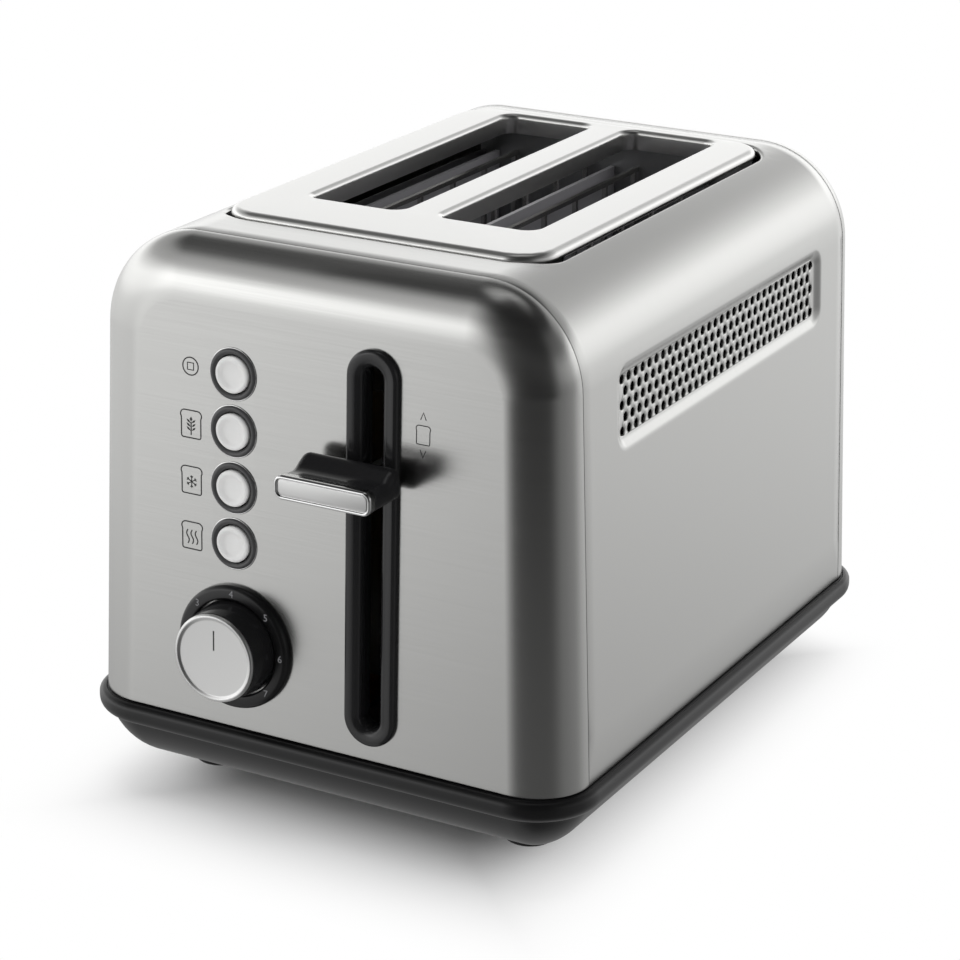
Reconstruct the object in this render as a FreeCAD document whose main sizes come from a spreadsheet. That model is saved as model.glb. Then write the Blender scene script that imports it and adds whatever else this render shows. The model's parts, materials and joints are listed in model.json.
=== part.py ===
import FreeCAD, Part
import Sketcher
import math
import os
import re

# Two-slice toaster. X is the width, Y the length with the controls at the front (-Y), Z up from the table.

document = FreeCAD.newDocument("Toaster")

# Driving sizes in millimetres and degrees
sizes = {
    # steel body
    "body_length": 243.0,
    "body_width": 184.7,
    "steel_bottom": 33.3,
    "cover_top": 197.5,
    "side_lean": 2.2,
    "end_lean": 1.64,
    "shoulder_radius": 34.0,
    "steel_wall": 0.8,
    "end_wrap": 18.7,
    "end_inset": 20.0,
    "end_wall": 1.2,
    "seam_gap": 0.4,
    "joggle_length": 6.0,
    "joggle_overlap": 3.0,
    "joggle_wall": 1.0,
    "fit_gap": 0.3,
    "hidden_sides": 6,
    "round_sides": 16,
    "dial_sides": 30,
    "corner_steps": 3,
    "shoulder_steps": 5,
    "stadium_steps": 8,
    "cut_reach": 4.0,
    # vents
    "vent_pitch": 5.0,
    "vent_columns": 31,
    "vent_rows": 5,
    "vent_hole": 1.6,
    "vent_sides": 4,
    "vent_middle_y": 2.1,
    "vent_top_z": 161.4,
    "vent_margin_end": 6.5,
    "vent_margin_top": 6.0,
    "vent_depth": 2.2,
    "vent_corner": 7.0,
    "vent_slope": 4.0,
    # top plate and slots
    "slot_length": 140.0,
    "slot_width": 36.0,
    "slot_spacing": 50.0,
    "slot_middle_y": 16.8,
    "slot_corner": 5.0,
    "plate_top": 199.0,
    "plate_depth": 3.1,
    "plate_sheet": 1.2,
    "plate_width": 121.0,
    "plate_front_margin": 29.0,
    "plate_rear_margin": 5.5,
    "plate_corner": 13.0,
    "plate_edge": 2.4,
    "plate_gap": 3.0,
    "lip_depth": 6.0,
    "lip_wall": 0.8,
    "lip_edge": 1.5,
    # base
    "rim_overhang": 3.3,
    "rim_top": 32.7,
    "rim_bottom": 25.3,
    "rim_corner": 23.0,
    "rim_edge": 1.6,
    "tub_inset": 1.8,
    "tub_round": 14.0,
    "tub_wall": 2.5,
    "tub_bottom": 4.5,
    "chassis_ledge": 2.0,
    "upstand_height": 6.0,
    "upstand_clearance": 1.1,
    "upstand_wall": 2.0,
    "upstand_corner": 19.0,
    "ledge_width": 3.0,
    "hollow_step": 7.0,
    "foot_radius": 9.0,
    "foot_spacing_x": 123.4,
    "foot_spacing_y": 170.0,
    "foot_socket": 1.5,
    # crumb tray
    "tray_width": 108.0,
    "tray_height": 11.0,
    "tray_wall": 1.0,
    "tray_window_height": 13.0,
    "tray_grip_width": 50.0,
    "tray_grip_radius": 6.0,
    # chassis and cage
    "chassis_sheet": 1.2,
    "bulkhead_sheet": 1.0,
    "bulkhead_width": 112.0,
    "bulkhead_margin": 3.0,
    "bulkhead_foot": 4.0,
    "heater_sheet": 1.6,
    "outer_heater_x": 48.5,
    "reflector_x": 54.0,
    "reflector_sheet": 0.6,
    "heater_foot": 8.0,
    "heater_drop": 14.0,
    "winding_width": 2.0,
    "winding_sheet": 0.3,
    "winding_margin": 6.0,
    "winding_turns": 7,
    "guard_offset": 15.0,
    "guard_wire": 1.6,
    "guard_closing": 5.0,
    "guard_bars": 7,
    "guard_foot": 14.0,
    "guard_drop": 13.0,
    # lever and carriage
    "lever_rest": 131.5,
    "lever_down": 78.0,
    "lever_up": 24.0,
    "lever_x": 17.3,
    "lever_width": 35.5,
    "lever_height": 8.2,
    "lever_reach": 24.0,
    "lever_cap_depth": 3.0,
    "lever_ridge": 4.5,
    "lever_ridge_depth": 3.5,
    "lever_corner": 3.0,
    "lever_cap_edge": 1.0,
    "lever_gap": 2.7,
    "bezel_x": 21.8,
    "bezel_width": 19.0,
    "bezel_slot": 7.0,
    "bezel_bottom": 38.8,
    "bezel_top": 173.3,
    "bezel_proud": 2.2,
    "bezel_sleeve": 4.0,
    "bezel_sleeve_wall": 1.5,
    "bezel_edge": 1.8,
    "stem_width": 3.0,
    "stem_height": 7.0,
    "carriage_back": 44.0,
    "carriage_sheet": 1.5,
    "carriage_width": 56.0,
    "carriage_height": 24.0,
    "arm_width": 3.0,
    "arm_height": 5.0,
    "support_width": 14.0,
    "support_sheet": 1.2,
    "support_drop": 7.0,
    "support_bars": 5,
    "arm_slot_gap": 0.8,
    "guide_x": 6.0,
    "guide_offset": 12.0,
    "guide_radius": 3.0,
    "guide_clearance": 0.05,
    "bush_wall": 2.0,
    "bush_height": 14.0,
    "guide_top": 182.0,
    "magnet_x": -14.0,
    "magnet_width": 18.0,
    "magnet_depth": 16.0,
    "magnet_height": 11.0,
    "armature_sheet": 2.0,
    "spring_radius": 4.5,
    "spring_wire": 1.0,
    "spring_x": -14.0,
    "spring_coils": 9,
    "spring_hook": 4.0,
    "bracket_sheet": 2.0,
    # buttons
    "button_x": -31.0,
    "button_top_z": 156.3,
    "button_spacing": 19.3,
    "button_count": 4,
    "button_radius": 6.2,
    "button_proud": 1.6,
    "button_depth": 4.6,
    "button_travel": 2.0,
    "button_clearance": 0.35,
    "button_dish": 0.6,
    "button_rim": 1.4,
    "button_stem": 2.0,
    "ring_width": 2.1,
    "ring_proud": 0.9,
    "ring_sleeve": 3.0,
    "ring_sleeve_wall": 1.0,
    "ring_hole_gap": 0.1,
    # dial
    "dial_x": -30.4,
    "dial_z": 62.6,
    "dial_ring_radius": 21.5,
    "dial_ring_proud": 3.0,
    "dial_ring_edge": 1.6,
    "knob_radius": 15.2,
    "knob_root": 16.4,
    "knob_reach": 14.0,
    "knob_cap_depth": 1.4,
    "knob_rim": 1.2,
    "knob_dish": 0.6,
    "knob_gap": 0.4,
    "shaft_radius": 3.0,
    "shaft_gap": 0.5,
    "shaft_depth": 15.0,
    # control electronics
    "board_sheet": 1.6,
    "board_back": 17.0,
    "board_width": 46.0,
    "board_margin": 10.0,
    "switch_size": 6.0,
    "switch_depth": 5.0,
    "pot_size": 17.0,
    "pot_depth": 8.0,
    "post_width": 5.0,
    "terminal_clearance": 6.45,
    "terminal_width": 34.0,
    "terminal_depth": 12.0,
    "terminal_height": 14.0,
    "gland_margin": 25.45,
    "gland_z": 16.0,
    "gland_radius": 5.5,
    "gland_lip": 2.0,
    "gland_bore": 3.75,
    "gland_flange": 1.6,
    "gland_length": 14.0,
    "screw_radius": 3.2,
    "screw_head": 1.6,
    "screw_inset": 24.0,
    "screw_shank": 3.0,
    "screw_hole": 3.6,
    "screw_post": 8.0,
}

# Places and sizes that follow from the driving ones; seam_y is measured from the body's middle, every other y is world
places = {
    "side_tan": "tan(side_lean * 1 deg)",
    "end_tan": "tan(end_lean * 1 deg)",
    "arch_height": "cover_top - steel_bottom",
    "shoulder_z": "arch_height - shoulder_radius",
    "shoulder_x": "body_width / 2 - side_tan * shoulder_z - shoulder_radius / cos(side_lean * 1 deg)",
    "seam_y": "body_length / 2 - end_wrap",
    "lever_panel_y": "body_length / 2 - end_tan * (lever_rest - steel_bottom)",
    "front_reach": "lever_panel_y + lever_reach",
    "rear_reach": "body_length / 2 + rim_overhang",
    "mid_y": "(front_reach - rear_reach) / 2",
    "front_y": "mid_y - body_length / 2",
    "rear_y": "mid_y + body_length / 2",
    "vent_row": "vent_pitch * sqrt(3) / 2",
    "vent_length": "vent_pitch * (vent_columns - 1)",
    "slot_front": "mid_y + slot_middle_y - slot_length / 2",
    "slot_rear": "slot_front + slot_length",
    "slot_x": "slot_spacing / 2",
    "plate_front": "slot_front - plate_front_margin",
    "plate_rear": "slot_rear + plate_rear_margin",
    "plate_under": "plate_top - plate_sheet",
    "rim_width": "body_width + 2 * rim_overhang",
    "rim_length": "body_length + 2 * rim_overhang",
    "tub_width": "rim_width - 2 * tub_inset",
    "tub_length": "rim_length - 2 * tub_inset",
    "tub_floor": "tub_bottom + tub_wall",
    "ledge_z": "rim_bottom + chassis_ledge",
    "upstand_width": "body_width - 2 * (steel_wall + joggle_wall + upstand_clearance)",
    "gland_x": "upstand_width / 2 - gland_margin",
    "terminal_x": "upstand_width / 2 - upstand_wall - terminal_clearance - terminal_width / 2",
    "upstand_length": "body_length - 2 * (end_wall + upstand_clearance)",
    "tray_back": "mid_y + upstand_length / 2 - upstand_wall - ledge_width",
    "tray_start": "slot_front - bulkhead_margin",
    "chassis_top": "ledge_z + chassis_sheet",
    "front_bulkhead": "slot_front - bulkhead_margin - bulkhead_sheet",
    "rear_bulkhead": "slot_rear + bulkhead_margin",
    "cage_front": "front_bulkhead + bulkhead_sheet + fit_gap",
    "cage_rear": "rear_bulkhead - fit_gap",
    "cage_length": "cage_rear - cage_front",
    "heater_bottom": "chassis_top + heater_foot",
    "heater_top": "plate_under - heater_drop",
    "guard_bottom": "chassis_top + guard_foot",
    "guard_top": "plate_under - guard_drop",
    "carriage_y": "front_y + carriage_back",
    "support_z": "lever_rest - support_drop",
    "carriage_bottom": "chassis_top + magnet_height + lever_down + fit_gap + armature_sheet",
    "carriage_rear": "carriage_y + carriage_sheet",
    "guide_y": "carriage_y + guide_offset",
    "spring_y": "guide_y - spring_hook",
    "lever_front": "mid_y - front_reach",
    "lever_rear": "mid_y - lever_panel_y - bezel_proud - lever_gap",
    "ring_bore": "button_radius + button_clearance",
    "knob_bore": "knob_root + knob_gap",
    "bezel_rim": "(bezel_width - bezel_slot) / 2",
}

sizes_sheet = document.addObject("Spreadsheet::Sheet", "Sizes")
places_sheet = document.addObject("Spreadsheet::Sheet", "Places")
probe_sheet = document.addObject("Spreadsheet::Sheet", "Probe")


def named(text):
    """Put the sheet's name before every alias in an expression."""
    def prefix(match):
        word = match.group(0)
        if word in sizes:
            return "Sizes." + word
        if word in places:
            return "Places." + word
        return word
    return re.sub(r"[a-z][a-z_0-9]*", prefix, str(text))


def fill(sheet, cells, mark):
    for row, (alias, text) in enumerate(cells.items(), 1):
        sheet.set(f"A{row}", alias)
        sheet.set(f"B{row}", mark + named(text))
        sheet.setAlias(f"B{row}", alias)
    document.recompute()


fill(sizes_sheet, sizes, "")
fill(places_sheet, places, "=")


def number(text):
    """The present value of an expression."""
    probe_sheet.set("A1", "=" + named(text))
    probe_sheet.recompute()
    result = probe_sheet.get("A1")
    return float(getattr(result, "Value", result))


def bind(thing, path, text):
    thing.setExpression(path, named(text))


sub_parts = []


def keep(thing, label):
    """Name a finished sub-part after its file."""
    thing.Label = label
    sub_parts.append(thing)
    return thing


# Sketches

def new_body(label, kept=True):
    body = document.addObject("PartDesign::Body", label)
    return keep(body, label) if kept else body


def new_sketch(body, plane, offset="0", tilt="0", lift="0"):
    """A sketch on the body's own plane, moved along its normal, lifted along its second axis, tilted about its first."""
    sketch = body.newObject("Sketcher::SketchObject", body.Name + "_sketch")
    support = [item for item in body.Origin.OriginFeatures if item.Role == plane + "_Plane"][0]
    sketch.AttachmentSupport = [(support, "")]
    sketch.MapMode = "FlatFace"
    turn = FreeCAD.Rotation(FreeCAD.Vector(1, 0, 0), number(tilt))
    sketch.AttachmentOffset = FreeCAD.Placement(FreeCAD.Vector(0, number(lift), number(offset)), turn)
    bind(sketch, "AttachmentOffset.Base.z", offset)
    bind(sketch, "AttachmentOffset.Base.y", lift)
    if tilt != "0":
        bind(sketch, "AttachmentOffset.Rotation.Angle", tilt)
    return sketch


def flat(x, y):
    return FreeCAD.Vector(x, y, 0)


def fix(sketch, kind, *where, value):
    """A dimension whose value follows an expression."""
    sketch.addConstraint(Sketcher.Constraint(kind, *where, number(value)))
    bind(sketch, f"Constraints[{sketch.ConstraintCount - 1}]", value)


def place_point(sketch, line, point, x, y):
    fix(sketch, "DistanceX", -1, 1, line, point, value=x)
    fix(sketch, "DistanceY", -1, 1, line, point, value=y)


def join(sketch, kind, pairs):
    for one, two in pairs:
        sketch.addConstraint(Sketcher.Constraint(kind, one, 2, two, 1))


def polygon(sketch, points):
    first = sketch.GeometryCount
    corners = [flat(number(x), number(y)) for x, y in points]
    count = len(points)
    lines = [Part.LineSegment(corners[i], corners[(i + 1) % count]) for i in range(count)]
    sketch.addGeometry(lines, False)
    join(sketch, "Coincident", [(first + i, first + (i + 1) % count) for i in range(count)])
    for i, (x, y) in enumerate(points):
        place_point(sketch, first + i, 1, x, y)


def rectangle(sketch, x0, x1, y0, y1):
    polygon(sketch, [(x0, y0), (x1, y0), (x1, y1), (x0, y1)])


def arc(x, y, radius, start, end):
    whole = Part.Circle(flat(x, y), FreeCAD.Vector(0, 0, 1), radius)
    return Part.ArcOfCircle(whole, math.radians(start), math.radians(end))


def rounded(sketch, x0, x1, y0, y1, radius):
    """A rectangle with four equal round corners."""
    left, right, low, high, r = (number(text) for text in (x0, x1, y0, y1, radius))
    first = sketch.GeometryCount
    sketch.addGeometry([
        Part.LineSegment(flat(left + r, low), flat(right - r, low)),
        arc(right - r, low + r, r, -90, 0),
        Part.LineSegment(flat(right, low + r), flat(right, high - r)),
        arc(right - r, high - r, r, 0, 90),
        Part.LineSegment(flat(right - r, high), flat(left + r, high)),
        arc(left + r, high - r, r, 90, 180),
        Part.LineSegment(flat(left, high - r), flat(left, low + r)),
        arc(left + r, low + r, r, 180, 270),
    ], False)
    join(sketch, "Tangent", [(first + i, first + (i + 1) % 8) for i in range(8)])
    for line, way in ((0, "Horizontal"), (2, "Vertical"), (4, "Horizontal"), (6, "Vertical")):
        sketch.addConstraint(Sketcher.Constraint(way, first + line))
    for corner in (3, 5, 7):
        sketch.addConstraint(Sketcher.Constraint("Equal", first + 1, first + corner))
    fix(sketch, "Radius", first + 1, value=radius)
    fix(sketch, "DistanceY", -1, 1, first, 1, value=y0)
    fix(sketch, "DistanceX", -1, 1, first + 2, 1, value=x1)
    fix(sketch, "DistanceY", -1, 1, first + 4, 1, value=y1)
    fix(sketch, "DistanceX", -1, 1, first + 6, 1, value=x0)


def stepped(sketch, x0, x1, y0, y1, radius):
    """The same rectangle with its corners in a few straight steps, for small corners and hidden ones."""
    steps = int(number("corner_steps"))
    points = []
    for x, y, start in ((f"{x1} - ({radius})", f"{y0} + ({radius})", -90), (f"{x1} - ({radius})", f"{y1} - ({radius})", 0),
                        (f"{x0} + ({radius})", f"{y1} - ({radius})", 90), (f"{x0} + ({radius})", f"{y0} + ({radius})", 180)):
        for step in range(steps + 1):
            turn = f"({start} + 90 * {step} / corner_steps) * 1 deg"
            points.append((f"{x} + ({radius}) * cos({turn})", f"{y} + ({radius}) * sin({turn})"))
    polygon(sketch, points)


def stadium(sketch, x, y0, y1, width):
    """An upright slot with round ends, each in a few straight steps."""
    radius = f"({width}) / 2"
    steps = int(number("stadium_steps"))
    points = []
    for y, start in ((f"{y1} - {radius}", 0), (f"{y0} + {radius}", 180)):
        for step in range(steps + 1):
            turn = f"({start} + 180 * {step} / stadium_steps) * 1 deg"
            points.append((f"{x} + {radius} * cos({turn})", f"{y} + {radius} * sin({turn})"))
    polygon(sketch, points)


def arch(sketch, inset="0"):
    """The body's cross-section, measured up from steel_bottom: leaning sides, round shoulders and a flat top."""
    lean = number("side_lean")
    radius = number(f"shoulder_radius - ({inset})")
    centre_x, centre_z = number("shoulder_x"), number("shoulder_z")
    side_x = centre_x + radius * math.cos(math.radians(lean))
    side_z = centre_z + radius * math.sin(math.radians(lean))
    foot = f"body_width / 2 - ({inset}) / cos(side_lean * 1 deg)"
    foot_x = number(foot)
    top_z = centre_z + radius
    floor = sketch.GeometryCount
    sketch.addGeometry([
        Part.LineSegment(flat(-foot_x, 0), flat(foot_x, 0)),
        Part.LineSegment(flat(foot_x, 0), flat(side_x, side_z)),
        arc(centre_x, centre_z, radius, lean, 90),
        Part.LineSegment(flat(centre_x, top_z), flat(-centre_x, top_z)),
        arc(-centre_x, centre_z, radius, 90, 180 - lean),
        Part.LineSegment(flat(-side_x, side_z), flat(-foot_x, 0)),
    ], False)
    right_side, right_arc, top, left_arc, left_side = range(floor + 1, floor + 6)
    join(sketch, "Coincident", [(floor, right_side), (left_side, floor)])
    join(sketch, "Tangent", [(right_side, right_arc), (right_arc, top), (top, left_arc), (left_arc, left_side)])
    sketch.addConstraint(Sketcher.Constraint("Horizontal", top))
    sketch.addConstraint(Sketcher.Constraint("Equal", right_arc, left_arc))
    place_point(sketch, right_arc, 3, "shoulder_x", "shoulder_z")
    fix(sketch, "DistanceX", -1, 1, left_arc, 3, value="-shoulder_x")
    fix(sketch, "Radius", right_arc, value=f"shoulder_radius - ({inset})")
    place_point(sketch, floor, 2, foot, "0")
    place_point(sketch, floor, 1, f"-({foot})", "0")


def stepped_arch(sketch, inset):
    """The same cross-section with its shoulders in straight steps, for faces inside the body."""
    radius = f"(shoulder_radius - ({inset}))"
    foot = f"(body_width / 2 - ({inset}) / cos(side_lean * 1 deg))"
    turns = [f"(side_lean + (90 - side_lean) * {step} / shoulder_steps) * 1 deg"
             for step in range(int(number("shoulder_steps")) + 1)]
    right = [(f"shoulder_x + {radius} * cos({turn})", f"shoulder_z + {radius} * sin({turn})") for turn in turns]
    left = [(f"-({x})", z) for x, z in reversed(right)]
    polygon(sketch, [(f"-{foot}", "0"), (foot, "0"), *right, *left])


# Features

def pad(body, sketch, length, back=False, cutting=False):
    """Material added, or cut away, along the sketch's normal or back from it."""
    kind = "Pocket" if cutting else "Pad"
    feature = body.newObject("PartDesign::" + kind, body.Name + "_" + kind.lower())
    feature.Profile = sketch
    bind(feature, "Length", length)
    feature.Reversed = back != cutting
    return feature


def cut(body, sketch, length, back=False):
    return pad(body, sketch, length, back, True)


def loft(body, sketches, cutting=False):
    kind = "Subtractive" if cutting else "Additive"
    feature = body.newObject("PartDesign::" + kind + "Loft", body.Name + "_" + kind.lower())
    feature.Profile = sketches[0]
    feature.Sections = sketches[1:]
    feature.Ruled = True
    return feature


def bevel(body, size, chosen):
    """Bevel the edges of the body's last feature for which chosen(edge) is true."""
    document.recompute()
    tip = body.Tip
    names = [f"Edge{i}" for i, edge in enumerate(tip.Shape.Edges, 1) if chosen(edge)]
    feature = body.newObject("PartDesign::Chamfer", body.Name + "_edge")
    feature.Base = (tip, names)
    bind(feature, "Size", size)
    return feature


def box(x, y, z, dx, dy, dz):
    """A block from its lowest corner."""
    thing = document.addObject("Part::Box", "Box")
    for path, text in (("Length", dx), ("Width", dy), ("Height", dz)):
        bind(thing, path, text)
    return set_down(thing, x, y, z)


def set_down(thing, x, y, z):
    for path, text in (("x", x), ("y", y), ("z", z)):
        bind(thing, "Placement.Base." + path, text)
    return thing


def cylinder(x, y, z, radius, height, along_y=False):
    thing = document.addObject("Part::Cylinder", "Cylinder")
    bind(thing, "Radius", radius)
    bind(thing, "Height", height)
    if along_y:
        thing.Placement.Rotation = FreeCAD.Rotation(FreeCAD.Vector(1, 0, 0), -90)
    return set_down(thing, x, y, z)


def taper(x, y, z, low, high, height, sides):
    """A tapered bar with few faces, lying along y."""
    ends = []
    for step, radius in (("0", low), (height, high)):
        outline = document.addObject("Part::RegularPolygon", "Outline")
        outline.Polygon = int(number(sides))
        bind(outline, "Circumradius", radius)
        outline.Placement.Rotation = FreeCAD.Rotation(FreeCAD.Vector(1, 0, 0), -90)
        ends.append(set_down(outline, x, f"{y} + {step}", z))
    thing = document.addObject("Part::Loft", "Taper")
    thing.Sections = ends
    thing.Solid = True
    thing.Ruled = True
    return thing


def bar(x, y, z, radius, length, along_y=False, sides="hidden_sides"):
    """A round bar with few faces, for small repeated pieces."""
    thing = document.addObject("Part::Prism", "Bar")
    thing.Polygon = int(number(sides))
    bind(thing, "Circumradius", radius)
    bind(thing, "Height", length)
    if along_y:
        thing.Placement.Rotation = FreeCAD.Rotation(FreeCAD.Vector(1, 0, 0), -90)
    return set_down(thing, x, y, z)


def together(*things):
    """Separate solids in one group."""
    group = document.addObject("Part::Compound", "Group")
    group.Links = list(things)
    return group


def fused(*things):
    whole = document.addObject("Part::MultiFuse", "Fused")
    whole.Shapes = list(things)
    return whole


def minus(thing, *tools):
    whole = document.addObject("Part::Cut", "Cut")
    whole.Base = thing
    whole.Tool = tools[0] if len(tools) == 1 else fused(*tools)
    return whole


def on_panel(thing):
    """Set a piece that is modelled on an upright face at y = 0, z = 0 against the leaning front panel."""
    if thing.TypeId != "PartDesign::Body":
        thing = together(thing)
    thing.Placement.Rotation = FreeCAD.Rotation(FreeCAD.Vector(-1, 0, 0), number("end_lean"))
    bind(thing, "Placement.Rotation.Angle", "end_lean")
    return set_down(thing, "0", "front_y", "steel_bottom")


# Steel cover, with its top opening and a field of small vents in a pressed recess on each side

cover_form = new_body("cover_form", kept=False)
cover_length = "2 * (seam_y - seam_gap)"
cover_start = "-(mid_y + seam_y - seam_gap)"
for inset in ("0", "steel_wall"):
    section = new_sketch(cover_form, "XZ", cover_start, lift="steel_bottom")
    arch(section, inset)
    pad(cover_form, section, cover_length, cutting=inset != "0")

opening = new_sketch(cover_form, "XY", "cover_top")
rounded(opening, "-plate_width / 2 - plate_gap", "plate_width / 2 + plate_gap",
        "plate_front - plate_gap", "plate_rear + plate_gap", "plate_corner + plate_gap")
cut(cover_form, opening, "plate_corner", back=True)

vent_middle = "mid_y + vent_middle_y"
vent_top = "vent_top_z - steel_bottom"


def vent_outline(shrink, depth):
    sketch = new_sketch(cover_form, "YZ", f"body_width / 2 - ({depth})", "-side_lean", "steel_bottom")
    reach = f"(vent_length / 2 + vent_margin_end - ({shrink}))"
    stepped(sketch, f"{vent_middle} - {reach}", f"{vent_middle} + {reach}",
            f"{vent_top} - (vent_rows - 1) * vent_row - vent_margin_top + ({shrink})",
            f"{vent_top} + vent_margin_top - ({shrink})", f"vent_corner - ({shrink})")
    return sketch


recess = loft(cover_form, [vent_outline("-steel_wall", "steel_wall / 2"),
                           vent_outline("vent_slope - steel_wall", "vent_depth + steel_wall")])
hollow = loft(cover_form, [vent_outline("0", "0"), vent_outline("vent_slope", "vent_depth")], cutting=True)
both_sides = cover_form.newObject("PartDesign::Mirrored", "both_sides")
both_sides.Originals = [recess, hollow]
both_sides.MirrorPlane = ([item for item in cover_form.Origin.OriginFeatures if item.Role == "YZ_Plane"][0], [""])
cover_form.Tip = both_sides


def vent_holes():
    """Staggered rows of small holes, every second row one hole shorter and half a pitch along."""
    sketch = document.addObject("Sketcher::SketchObject", "vent_holes")
    sketch.Placement.Rotation = FreeCAD.Rotation(FreeCAD.Vector(1, 1, 1), 120)
    bind(sketch, "Placement.Base.z", "steel_bottom")
    pitch, row_step, radius = number("vent_pitch"), number("vent_row"), number("vent_hole")
    start_y, top_z = number(f"{vent_middle} - vent_length / 2"), number(vent_top)
    columns, sides = int(number("vent_columns")), int(number("vent_sides"))
    turns = [2 * math.pi * corner / sides for corner in range(sides + 1)]
    lines = []
    for row in range(int(number("vent_rows"))):
        odd = row % 2
        for column in range(columns - odd):
            middle = flat(start_y + (column + odd / 2) * pitch, top_z - row * row_step)
            corners = [middle + flat(radius * math.sin(turn), radius * math.cos(turn)) for turn in turns]
            lines += [Part.LineSegment(*ends) for ends in zip(corners, corners[1:])]
    sketch.addGeometry(lines, False)
    return sketch


vent_punches = document.addObject("Part::Extrusion", "vent_punches")
vent_punches.Base = vent_holes()
vent_punches.Dir = FreeCAD.Vector(1, 0, 0)
vent_punches.Solid = True
bind(vent_punches, "LengthFwd", "body_width / 2")
bind(vent_punches, "LengthRev", "body_width / 2")
keep(minus(cover_form, vent_punches), "cover")


# End panels: pressed steel caps that curve round from the front and rear faces to the seam with the cover

def end_panel(label, way, kept=True):
    panel = new_body(label, kept)
    for wall, turns, outline in (("0", range(0, 91, 15), arch), ("end_wall", range(0, 91, 30), stepped_arch)):
        sections = []
        for turn in turns:
            share = f"sin({turn} * 1 deg)"
            depth = f"{way} * (seam_y + (end_wrap - {wall}) * {share}) - mid_y"
            section = new_sketch(panel, "XZ", depth, f"-{way} * end_lean * {share}", "steel_bottom")
            outline(section, f"{wall} + end_inset * (1 - cos({turn} * 1 deg))")
            sections.append(section)
        loft(panel, sections, cutting=wall != "0")
    outer = "steel_wall + fit_gap"
    for inset in (outer, outer + " + joggle_wall"):
        ring = new_sketch(panel, "XZ", f"{way} * (seam_y + joggle_overlap) - mid_y", lift="steel_bottom")
        stepped_arch(ring, inset)
        pad(panel, ring, "joggle_length + joggle_overlap", back=way == 1, cutting=inset != outer)
    return panel


def button_z(row):
    return f"button_top_z - {row} * button_spacing - steel_bottom"


end_panel("rear_panel", -1)
front_form = end_panel("front_form", 1, kept=False)
button_rows = range(int(number("button_count")))
face = new_sketch(front_form, "XZ", "-front_y", "-end_lean", "steel_bottom")
stadium(face, "bezel_x", "bezel_bottom + bezel_rim - bezel_sleeve_wall - ring_hole_gap - steel_bottom",
        "bezel_top - bezel_rim + bezel_sleeve_wall + ring_hole_gap - steel_bottom",
        "bezel_slot + 2 * (bezel_sleeve_wall + ring_hole_gap)")
cut(front_form, face, "cut_reach", back=True)
panel_holes = [bar("button_x", "-cut_reach", button_z(row), "ring_bore + ring_sleeve_wall + ring_hole_gap",
                   "2 * cut_reach", True, "round_sides") for row in button_rows]
panel_holes.append(bar("dial_x", "-cut_reach", "dial_z - steel_bottom", "shaft_radius + shaft_gap",
                       "2 * cut_reach", True, "round_sides"))
keep(minus(front_form, on_panel(together(*panel_holes))), "front_panel")


# Raised top plate with two bread slots whose edges turn down

top_plate = new_body("top_plate")


def plate_outline(z, inset):
    sketch = new_sketch(top_plate, "XY", z)
    rounded(sketch, f"{inset} - plate_width / 2", f"plate_width / 2 - {inset}", f"plate_front + {inset}",
            f"plate_rear - {inset}", f"plate_corner - {inset}")
    return sketch


plate_sections = [plate_outline(f"plate_top - plate_edge * (1 - sin({turn} * 1 deg))", f"plate_edge * (1 - cos({turn} * 1 deg))")
                  for turn in (90, 45, 0)]
loft(top_plate, plate_sections)
pad(top_plate, plate_outline("plate_top - plate_edge", "0"), "plate_depth - plate_edge", back=True)
under = new_sketch(top_plate, "XY", "plate_top - plate_depth")
rounded(under, "plate_sheet - plate_width / 2", "plate_width / 2 - plate_sheet",
        "plate_front + plate_sheet", "plate_rear - plate_sheet", "plate_corner - plate_sheet")
cut(top_plate, under, "plate_depth - plate_sheet")


def both_slots(body, z, wall):
    sketch = new_sketch(body, "XY", z)
    for side in (-1, 1):
        stepped(sketch, f"{side} * slot_x - slot_width / 2 - {wall}", f"{side} * slot_x + slot_width / 2 + {wall}",
                f"slot_front - {wall}", f"slot_rear + {wall}", f"slot_corner + {wall}")
    return sketch


pad(top_plate, both_slots(top_plate, "plate_under - lip_depth", "lip_wall"), "lip_depth")
cut(top_plate, both_slots(top_plate, "plate_top", "0"), "plate_sheet + 2 * lip_depth", back=True)
top_level, slots_front, slots_rear = number("plate_top"), number("slot_front"), number("slot_rear")
slots_reach = number("slot_x + slot_width / 2")
near = number("fit_gap")


def slot_edge(edge):
    bounds = edge.BoundBox
    if bounds.ZMin < top_level - near or bounds.YMin < slots_front - near or bounds.YMax > slots_rear + near:
        return False
    return bounds.XMin > -slots_reach - near and bounds.XMax < slots_reach + near


bevel(top_plate, "lip_edge", slot_edge)


# Base tub with its rim, an upstand that locates the steel body, a ledge for the chassis plate and a tray window

def tub_outline(body, z, half_x, half_y, radius, corners=rounded):
    sketch = new_sketch(body, "XY", z)
    corners(sketch, f"-({half_x})", half_x, f"mid_y - ({half_y})", f"mid_y + ({half_y})", radius)
    return sketch


def tub_shell(label, kept=True):
    """The outside of the base as a full block, rounded under."""
    tub = new_body(label, kept)
    sections = []
    for turn in (90, 60, 30, 0):
        z, inset = f"tub_bottom + tub_round * (1 - sin({turn} * 1 deg))", f"tub_round * (1 - cos({turn} * 1 deg))"
        sections.append(tub_outline(tub, z, f"tub_width / 2 - {inset}", f"tub_length / 2 - {inset}",
                                    f"rim_corner - tub_inset - {inset}"))
    loft(tub, sections)
    wall = tub_outline(tub, "tub_bottom + tub_round", "tub_width / 2", "tub_length / 2", "rim_corner - tub_inset")
    pad(tub, wall, "rim_bottom - tub_bottom - tub_round")
    return tub


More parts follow.
